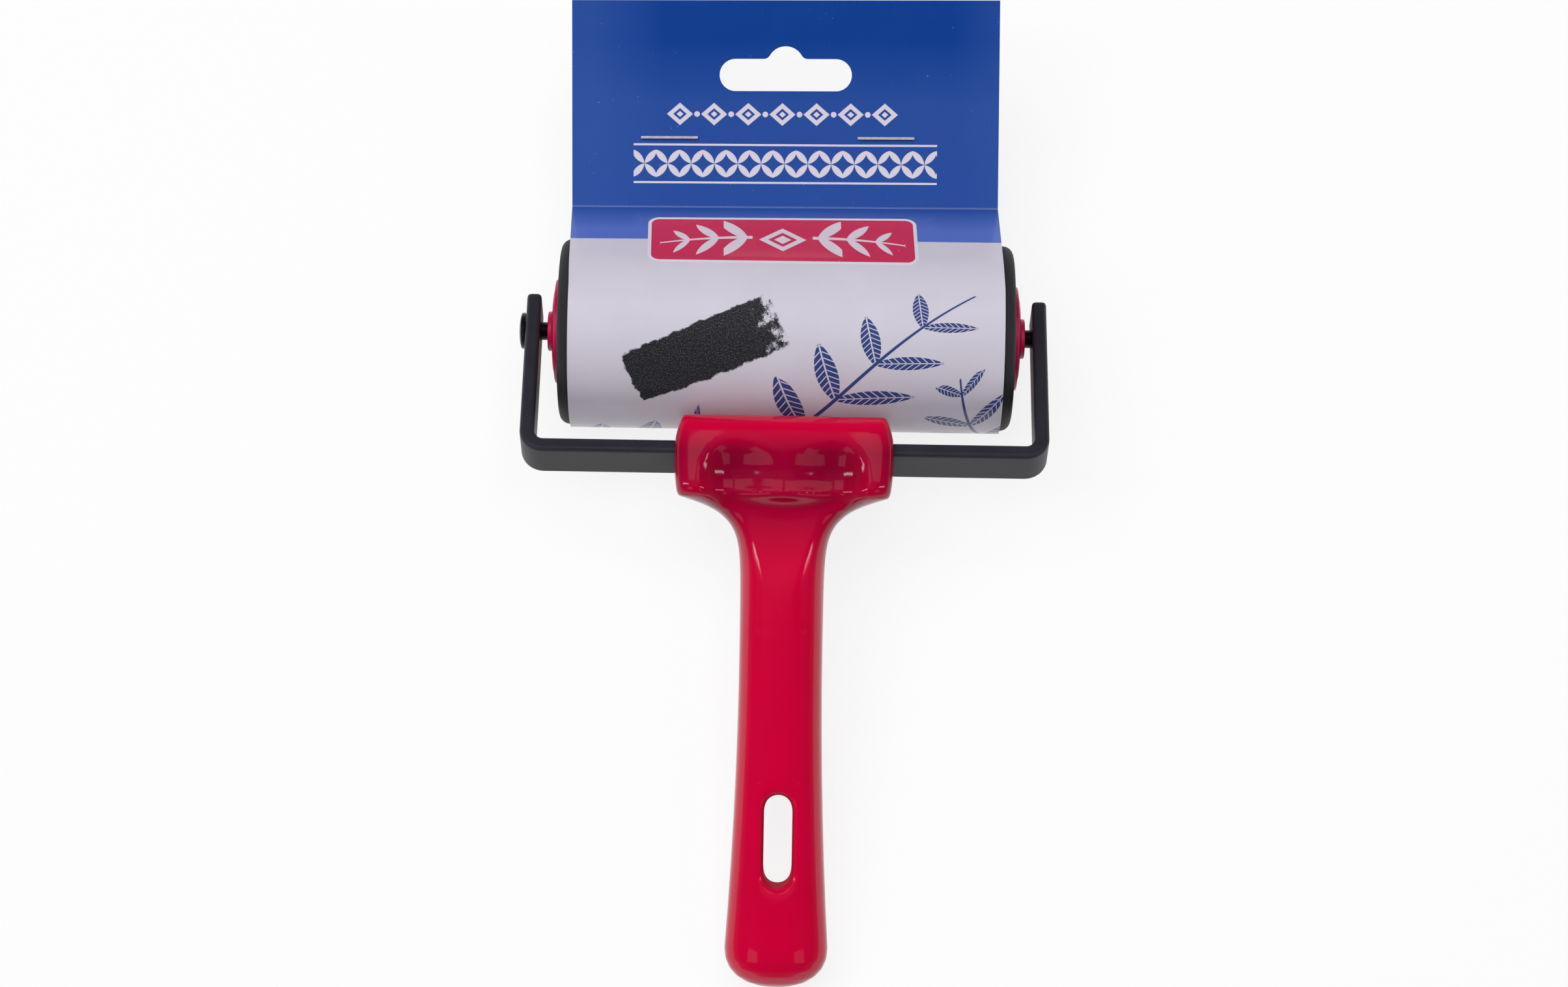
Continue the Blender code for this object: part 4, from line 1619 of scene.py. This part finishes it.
@dataclass
class Roller:
    """The rubber sleeve on its core, with a moulded hub in each end."""

    layout: Layout
    half: float = 0.050
    radius: float = 0.0205
    bore: float = 0.0103
    rubber_edge: float = 0.0022
    rubber_edge_steps: int = 10
    rubber_segments: int = 144
    seat: float = 0.0003
    flange: float = 0.0115
    flange_rim: float = 0.0009
    flange_rise: float = 0.0006
    flange_lead: Pair = (0.0001, 0.0012)
    groove: tuple[Point, ...] = ((0.0001, 0.62), (0.00035, 0.64), (0.00035, 0.76), (0.0002, 0.78))
    boss: float = 0.0044
    boss_height: float = 0.0011
    soft: float = 0.0003
    soft_steps: int = 4
    spigot: float = 0.014
    skirt: float = 0.0077
    skirt_wall: float = 0.0015
    barrel: float = 0.0037
    axle_bore: float = 0.0021
    hub_segments: int = 96

    def build_rubber(self) -> bpy.types.Object:
        """Models the sleeve with round edges.

        Returns:
            The piece.
        """
        edge = self.rubber_edge
        inset = self.half - edge
        left = arc((-inset, self.radius - edge), edge, 180, 90, self.rubber_edge_steps)
        right = arc((inset, self.radius - edge), edge, 90, 0, self.rubber_edge_steps)
        profile = [(self.half, self.bore), (-self.half, self.bore), *left, *right]
        piece = Bench.turned("rubber_sleeve", profile, self.rubber_segments, closed=True)
        Bench.move(piece, self.layout.roller)
        return piece

    def build_hub(self, side: Side) -> bpy.types.Object:
        """Models one hub: domed flange, boss, a skirt in the core and a barrel on the axle.

        Args:
            side: The end that it is in.

        Returns:
            The piece.
        """
        sided = [(side.value * x, radius) for x, radius in self._hub_profile()]
        name = f"{side.name.lower()}_end_hub"
        piece = Bench.turned(name, sided, self.hub_segments, closed=True)
        Bench.move(piece, self.layout.roller)
        return piece

    def _hub_profile(self) -> list[Point]:
        """The right hub's section, from its bore over the boss and the flange to its skirt.

        Returns:
            Points as (x, radius).
        """
        seat = self.half + self.seat
        rim = seat + self.flange_rim
        face = rim + self.flange_rise
        top = face + self.boss_height
        inner = self.half - self.spigot
        soft, steps = self.soft, self.soft_steps
        edge = self.flange - soft
        lead_x, lead_in = self.flange_lead
        return [
            (top, self.axle_bore),
            *arc((top - soft, self.boss - soft), soft, 0, 90, steps),
            (face + soft, self.boss),
            (face, self.boss + soft),
            *((face - depth, self.flange * share) for depth, share in self.groove),
            (rim + lead_x, edge - lead_in),
            *arc((rim - soft, edge), soft, 0, 90, steps),
            (seat, self.flange),
            (seat, self.skirt),
            (inner, self.skirt),
            (inner, self.skirt - self.skirt_wall),
            (seat, self.skirt - self.skirt_wall),
            (seat, self.barrel),
            (inner, self.barrel),
            (inner, self.axle_bore),
        ]

    def dress_rubber(self, piece: bpy.types.Object) -> None:
        """Gives the sleeve its rubber."""
        Bench.dress(piece, Body.ROLLER, "soft_rubber", GroundRubber())
        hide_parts("roller_rubber")

    def dress_hub(self, piece: bpy.types.Object, side: Side) -> None:
        """Gives a hub its plastic.

        Args:
            piece: The hub.
            side: The end that it is in.
        """
        centre = (self.layout.axle.y, self.layout.axle.z)
        Bench.dress(piece, Body.ROLLER, "hub_plastic", HubPlastic(centre=centre))
        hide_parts(f"{side.name.lower()}_hub")

    @staticmethod
    def dress_core(node: bpy.types.Object) -> None:
        """Gives the hidden core its plain tube finish.

        Args:
            node: The core's CAD node, which stays as it is.
        """
        node.data.materials.clear()
        node.data.materials.append(ExtrudedTube().material())
        report(node)


@dataclass
class HangCard:
    """The folded card: two header layers, the flaps and the wrap, closed by two staples."""

    layout: Layout
    width: float = 0.095
    thickness: float = 0.0004
    radius: float = 0.0210
    crease_reach: float = 0.0280
    crease_drop: float = 0.0060
    layer_offset: float = 0.00035
    front_length: float = 0.046
    back_length: float = 0.021
    crease_round: float = 0.0005
    crease_steps: int = 4
    skew: float = 0.0113
    skew_start: float = 0.012
    skew_shift: float = 0.00055
    crease_turn: float = math.radians(0.57)
    header_turn: float = math.radians(0.88)
    arc_step: float = math.radians(2.5)
    smooth: float = math.radians(30)
    hole_width: float = 0.0294
    hole_height: float = 0.0071
    hole_to_crease: float = 0.0295
    bump_radius: float = 0.0041
    bump_rise: float = 0.0028
    bump_fillet: float = 0.0016
    crown: float = 0.0127
    wire: float = 0.0006
    wire_round: float = 0.3
    wire_steps: int = 3
    wire_smooth: float = math.radians(40)
    clinch: float = 0.0048
    staple_spacing: float = 0.0482
    staple_offset: float = -0.0017
    staple_to_crease: float = 0.0156
    staple_gap: float = 0.0003

    FLAT_MAP = "flat_card"
    FLAT_UNITS = 10
    FLAT_MILLIMETRES = 100.0
    FACING = 0.9

    def path(self) -> list[Point]:
        """The card's middle line as (y, z), from the header's top round to the back layer's end.

        Returns:
            The points, the first two being the front layer's ends.
        """
        front = self.layer_offset - self.crease_drop
        back = -self.layer_offset - self.crease_drop
        reach = self.crease_reach
        start = math.atan2(front, reach) + math.acos(self.radius / math.hypot(reach, front))
        end = math.atan2(back, reach) - math.acos(self.radius / math.hypot(reach, back))
        end += 2 * math.pi
        steps = math.ceil((end - start) / self.arc_step)
        wrap = arc((0, 0), self.radius, math.degrees(start), math.degrees(end), steps)
        first = (reach + self.front_length, front)
        last = (reach + self.back_length, back)
        upper = self._rounded(first, (reach, front), wrap[0])
        lower = self._rounded(wrap[-1], (reach, back), last)
        return [first, *upper, *wrap, *lower, last]

    def _rounded(self, before: Point, corner: Point, after: Point) -> list[Point]:
        """A crease with a small round instead of a sharp fold.

        Args:
            before: A point ahead of the crease.
            corner: The crease.
            after: A point past it.

        Returns:
            Points on the round.
        """
        corner_at = Vector(corner)
        way_in = (Vector(before) - corner_at).normalized() * self.crease_round
        way_out = (Vector(after) - corner_at).normalized() * self.crease_round
        points = []
        for step in range(self.crease_steps + 1):
            share = step / self.crease_steps
            point = corner_at + way_in * (1 - share) ** 2 + way_out * share**2
            points.append((point.x, point.y))
        return points

    def build_card(self) -> bpy.types.Object:
        """Models the card: a flat header, drawn out along the fold lines, thickened and punched.

        Returns:
            The piece.
        """
        path = self.path()
        piece = self._sheet(path)
        self._lay_flat(piece, path)
        self._skew(piece)
        Bench.edit(piece)
        bpy.ops.mesh.normals_make_consistent(inside=False)
        bpy.ops.object.mode_set(mode="OBJECT")
        self._face_outwards(piece)
        for finish in (PrintedCard(), PlainBoard()):
            piece.data.materials.append(finish.material())
        board = {"material_offset": 1, "material_offset_rim": 1, "use_even_offset": True}
        Bench.modify(piece, Modifier.SOLIDIFY, thickness=self.thickness, offset=0.0, **board)
        for cutter in self._punches():
            Bench.move(cutter, self._on_header(0.0, self.hole_to_crease))
            Bench.combine(piece, cutter, Merge.CUT)
        self._bare_edges(piece)
        Bench.shade(piece, self.smooth)
        Bench.move(piece, self.layout.card)
        return piece

    def _sheet(self, path: Sequence[Point]) -> bpy.types.Object:
        """Draws the header out along the card's middle line.

        Args:
            path: The middle line.

        Returns:
            The folded sheet, without thickness.
        """
        (top, level), (low, _) = path[0], path[1]
        place = (0, (top + low) / 2, level)
        size = (self.width, top - low, 1)
        piece = Bench.plate("printed_hang_card", size, location=place)
        Bench.edit(piece)
        Bench.select(piece, Pick.EDGES, lambda middle, way: abs(middle.y - low) < MERGE_DISTANCE)
        for (old_y, old_z), (new_y, new_z) in zip(path[1:], path[2:]):
            Bench.draw_edges(0, new_y - old_y, new_z - old_z)
        bpy.ops.object.mode_set(mode="OBJECT")
        return piece

    def _lay_flat(self, piece: bpy.types.Object, path: Sequence[Point]) -> None:
        """Writes each corner's place on the card laid flat to a map, in tenths of a metre.

        Args:
            piece: The card before it is thickened.
            path: The middle line that it was drawn along.
        """
        lengths = [0.0]
        for (y0, z0), (y1, z1) in zip(path, path[1:]):
            lengths.append(lengths[-1] + math.hypot(y1 - y0, z1 - z0))
        flat = {}
        for vertex in piece.data.vertices:
            gaps = [math.hypot(vertex.co.y - y, vertex.co.z - z) for y, z in path]
            length = lengths[gaps.index(min(gaps))]
            flat[vertex.index] = (vertex.co.x * self.FLAT_UNITS, length * self.FLAT_UNITS)
        layers = piece.data.uv_layers
        layer = layers[0] if layers else layers.new()
        layer.name = self.FLAT_MAP
        for loop in piece.data.loops:
            layer.data[loop.index].uv = flat[loop.vertex_index]

    def _skewed(self, x: float, y: float) -> Point:
        """Where a place on the flaps or the header goes when the card is stapled out of square.

        Args:
            x: Place across the card.
            y: Place from the axle towards the header's top.

        Returns:
            The new x and y.
        """
        beyond = max(y - self.skew_start, 0.0)
        flap = self.crease_reach - self.skew_start
        over_flap = min(beyond / flap, 1.0)
        over_header = max(beyond - flap, 0.0) / self.front_length
        turn = self.crease_turn * over_flap + (self.header_turn - self.crease_turn) * over_header
        return x - self.skew * beyond - self.skew_shift * over_flap, y + turn * x

    def _skew(self, piece: bpy.types.Object) -> None:
        """Sets the header a little out of square, as a hand-stapled card is."""
        for vertex in piece.data.vertices:
            vertex.co.x, vertex.co.y = self._skewed(vertex.co.x, vertex.co.y)

    @staticmethod
    def _face_outwards(piece: bpy.types.Object) -> None:
        """Turns the printed side away from the roller.

        Args:
            piece: The card before it is thickened.
        """
        lowest = min(piece.data.polygons, key=lambda face: face.center.z)
        if lowest.normal.z > 0:
            piece.data.flip_normals()

    def _bare_edges(self, piece: bpy.types.Object) -> None:
        """Gives the punched edges the plain board and leaves only the flat map.

        Args:
            piece: The punched card.
        """
        for face in piece.data.polygons:
            upright = abs(face.normal.z) < 0.5
            if upright and face.center.y > self.crease_reach + self.crease_round:
                face.material_index = 1
        for layer in list(piece.data.uv_layers):
            if layer.name != self.FLAT_MAP:
                piece.data.uv_layers.remove(layer)

    def _punches(self) -> Iterable[bpy.types.Object]:
        """The punches for the peg hole: a bar with round ends and a bump in fillets above it.

        Returns:
            The punches, one after another.
        """
        straight = self.hole_width - self.hole_height
        height = 4 * self.layer_offset
        top = self.hole_height / 2
        yield Bench.block("peg_bar", (straight, self.hole_height, height))
        rounds = [
            (-straight / 2, 0.0, top),
            (straight / 2, 0.0, top),
            (0.0, top + self.bump_rise - self.bump_radius, self.bump_radius),
        ]
        for x, y, radius in rounds:
            yield Bench.pin("peg_round", radius, height, location=(x, y, 0))
        fillet = self.bump_fillet
        below = self.bump_radius - self.bump_rise
        reach = self.bump_radius + fillet
        beside = math.sqrt(reach**2 - (fillet + below) ** 2)
        touch = (fillet + below) * self.bump_radius / reach - below
        for way in (-1, 1):
            size = (beside, 2 * touch, height)
            corner = Bench.block("peg_corner", size, location=(way * beside / 2, top, 0))
            place = (way * beside, top + fillet, 0)
            round_off = Bench.pin("peg_round", fillet, 2 * height, location=place)
            Bench.combine(corner, round_off, Merge.CUT)
            yield corner

    def _on_header(self, x: float, to_crease: float) -> Matrix:
        """The place of something on the header, in the card's frame.

        Args:
            x: Place across the card.
            to_crease: Distance from the crease.

        Returns:
            The place, turned with the header.
        """
        new_x, new_y = self._skewed(x, self.crease_reach + to_crease)
        share = to_crease / self.front_length
        turn = self.crease_turn + (self.header_turn - self.crease_turn) * share
        place = Matrix.Translation((new_x, new_y, -self.crease_drop))
        return place @ Matrix.Rotation(turn, 4, "Z")

    def build_staple(self, side: Side) -> bpy.types.Object:
        """Models one staple: the crown drawn out, then the legs, then the clinched ends.

        Args:
            side: Which staple.

        Returns:
            The piece.
        """
        wire = self.wire
        level = self.layer_offset + self.thickness / 2 + self.staple_gap + wire / 2
        leg = self.crown / 2 - wire / 2
        name = f"{side.name.lower()}_wire_staple"
        add = bpy.ops.mesh.primitive_cube_add
        piece = Bench.start(name, add, size=wire, location=(-leg, 0, level))
        Bench.edit(piece)
        Bench.select(piece, Pick.FACES, lambda middle, normal: normal.x > self.FACING)
        for step in (self.crown - 2 * wire, wire):
            Bench.draw_faces(step, 0, 0)
        self._draw_legs(piece, leg, level)
        bpy.ops.mesh.select_all(action="SELECT")
        bpy.ops.object.mode_set(mode="OBJECT")
        Bench.close(piece, self.wire_smooth)
        Bench.round_edges(piece, wire * self.wire_round, self.wire_steps)
        Bench.close(piece, self.wire_smooth)
        x = self.staple_offset + side.value * self.staple_spacing / 2
        Bench.move(piece, self.layout.card @ self._on_header(x, self.staple_to_crease))
        return piece

    def _draw_legs(self, piece: bpy.types.Object, leg: float, level: float) -> None:
        """Draws a staple's legs through the card and folds their ends in behind it.

        Args:
            piece: The staple in edit mode.
            leg: The legs' distance from the staple's middle.
            level: The crown's height above the header's middle.
        """
        wire = self.wire
        under = level - wire / 2

        def below_crown(middle: Vector, normal: Vector) -> bool:
            """Whether a face is the crown's underside at a leg."""
            return normal.z < -self.FACING and abs(abs(middle.x) - leg) < wire / 4

        Bench.select(piece, Pick.FACES, below_crown)
        for step in (2 * level - wire, wire):
            Bench.draw_faces(0, 0, -step)
        for way in (1, -1):

            def inside_foot(middle: Vector, normal: Vector, way: int = way) -> bool:
                """Whether a face is the inner side of a leg's foot."""
                inner = normal.x * way > self.FACING
                return inner and middle.z < -under and middle.x * way < 0

            Bench.select(piece, Pick.FACES, inside_foot)
            Bench.draw_faces(way * self.clinch, 0, 0)

    def dress_card(self, piece: bpy.types.Object) -> None:
        """Gives the card its body; its print and its board are on it already."""
        Bench.dress(piece, Body.CARD, "printed_card")
        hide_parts("hang_card")

    def dress_staple(self, piece: bpy.types.Object, side: Side) -> None:
        """Gives a staple its bright wire."""
        Bench.dress(piece, Body.CARD, "bright_wire", BrightWire())
        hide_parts(f"{side.name.lower()}_staple")


# The studio


@dataclass(frozen=True)
class Lamp:
    """A soft box, aimed at the brayer."""

    name: str
    place: Triple
    size: Pair
    power: float
    shows_in_gloss: bool = True


@dataclass
class Studio:
    """The white bench, the soft light and the camera."""

    target: Triple = (0.0, 0.01, 0.02)
    camera_place: Triple = (0.0009, -0.17304, 0.8057)
    camera_way: Triple = (0.0, 0.2148, -0.9767)
    camera_roll: float = math.radians(0.96)
    camera_clip: Pair = (0.01, 50.0)
    focal_pixels: float = 5596.0
    sensor: float = 36.0
    floor_size: float = 16.0
    floor_gap: float = 0.0002
    floor_colours: tuple[Colour, Colour] = ((0.84, 0.84, 0.85), (0.88, 0.88, 0.88))
    floor_grain: float = 900.0
    floor_glow: float = 0.84
    walls: tuple[tuple[float, Colour], ...] = (
        (0.0, (0.40, 0.40, 0.40)),
        (0.12, (0.20, 0.20, 0.20)),
        (0.40, (0.05, 0.05, 0.05)),
        (0.85, (0.025, 0.025, 0.027)),
    )
    lamps: tuple[Lamp, ...] = (
        Lamp("key_box", (-0.25, 0.20, 1.50), (1.6, 1.2), 25.0, shows_in_gloss=False),
        Lamp("far_left_box", (-0.324, 0.343, 1.14), (0.54, 0.30), 0.27),
        Lamp("far_right_box", (0.384, 0.374, 1.11), (0.62, 0.30), 0.31),
        Lamp("near_left_box", (-0.558, -0.694, 0.826), (0.366, 0.505), 0.29),
        Lamp("near_right_box", (0.558, -0.694, 0.826), (0.366, 0.505), 0.24),
        Lamp("left_strip", (-0.894, -0.085, 0.899), (0.58, 0.113), 1.5),
        Lamp("right_strip", (0.894, -0.085, 0.899), (0.58, 0.113), 1.2),
    )

    def build(self) -> None:
        """Makes the floor, the light and the camera."""
        self._floor()
        self._world()
        for lamp in self.lamps:
            self._lamp(lamp)
        self._camera()
        bpy.context.scene.view_settings.view_transform = "Standard"

    def _floor(self) -> None:
        """A white bench that stays white to the camera and still takes a shadow."""
        add = bpy.ops.mesh.primitive_plane_add
        floor = Bench.start("bench", add, size=self.floor_size, location=(0, 0, -self.floor_gap))
        material = bpy.data.materials.new("white_bench")
        material.use_nodes = True
        graph = Graph(material.node_tree)
        paper = graph.noise(Finish.place(graph), self.floor_grain, 3.0)
        colour = graph.mix(paper, *self.floor_colours)
        matt = graph.node("ShaderNodeBsdfPrincipled", {}, {"Base Color": colour, "Roughness": 0.9})
        glow = graph.node("ShaderNodeEmission", {}, {"Color": (1, 1, 1, 1), "Strength": 1.0})
        seen = graph.rays("Is Camera Ray", "Is Glossy Ray", "Is Transmission Ray")
        inputs = {0: seen * self.floor_glow, 1: matt.outputs[0], 2: glow.outputs[0]}
        mixed = graph.node("ShaderNodeMixShader", {}, inputs)
        graph.node("ShaderNodeOutputMaterial", {}, {"Surface": mixed.outputs[0]})
        floor.data.materials.append(material)

    def _world(self) -> None:
        """White walls low down under a dark ceiling, and plain white behind the bench."""
        world = bpy.data.worlds.new("studio")
        world.use_nodes = True
        bpy.context.scene.world = world
        graph = Graph(world.node_tree)
        way = graph.node("ShaderNodeTexCoord", {}, {}).outputs["Generated"]
        _, _, height = graph.axes(way)
        ramp = graph.node("ShaderNodeValToRGB", {"stops": self.walls}, {"Fac": height})
        colour = graph.mix(graph.rays("Is Camera Ray"), ramp.outputs[0], (1, 1, 1))
        shader = graph.node("ShaderNodeBackground", {}, {"Color": colour, "Strength": 1.0})
        graph.node("ShaderNodeOutputWorld", {}, {"Surface": shader.outputs[0]})

    def _lamp(self, lamp: Lamp) -> None:
        """Hangs one soft box and aims it.

        Args:
            lamp: The soft box.
        """
        data = bpy.data.lights.new(lamp.name, "AREA")
        data.shape = "RECTANGLE"
        data.size, data.size_y = lamp.size
        data.energy = lamp.power
        box = bpy.data.objects.new(lamp.name, data)
        bpy.context.scene.collection.objects.link(box)
        back = (Vector(lamp.place) - Vector(self.target)).normalized()
        side = (Vector((1, 0, 0)) - back * back.x).normalized()
        turn = Matrix((side, back.cross(side), back)).transposed()
        box.matrix_world = Matrix.LocRotScale(Vector(lamp.place), turn, None)
        box.visible_glossy = lamp.shows_in_gloss

    def _camera(self) -> None:
        """Looks straight down on the handle, rolled as the picture is."""
        data = bpy.data.cameras.new("camera")
        data.sensor_width = self.sensor
        data.lens = self.focal_pixels / IMAGE_WIDTH * self.sensor
        data.clip_start, data.clip_end = self.camera_clip
        camera = bpy.data.objects.new("camera", data)
        bpy.context.scene.collection.objects.link(camera)
        camera.location = self.camera_place
        camera.rotation_mode = "QUATERNION"
        level = Vector(self.camera_way).to_track_quat("-Z", "Y")
        camera.rotation_quaternion = level @ Quaternion((0, 0, 1), self.camera_roll)
        bpy.context.scene.camera = camera


def main() -> None:
    """Builds the brayer over its frame and sets the studio round it."""
    logging.basicConfig(level=logging.INFO, format="%(name)s: %(message)s")
    for old in list(bpy.data.objects):
        bpy.data.objects.remove(old)
    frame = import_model()
    nodes = frame["nodes"]
    layout = Layout.read(frame)

    handle = Handle(layout)
    handle.dress(handle.build(nodes["handle"]))
    strap = StrapFrame(layout)
    strap.dress(strap.build())
    axle = Axle(layout)
    axle.dress(axle.build())

    roller = Roller(layout)
    roller.dress_rubber(roller.build_rubber())
    roller.dress_core(nodes["roller_core"])
    card = HangCard(layout)
    card.dress_card(card.build_card())
    for side in Side:
        roller.dress_hub(roller.build_hub(side), side)
        card.dress_staple(card.build_staple(side), side)

    Studio().build()


if __name__ == "__main__":
    main()
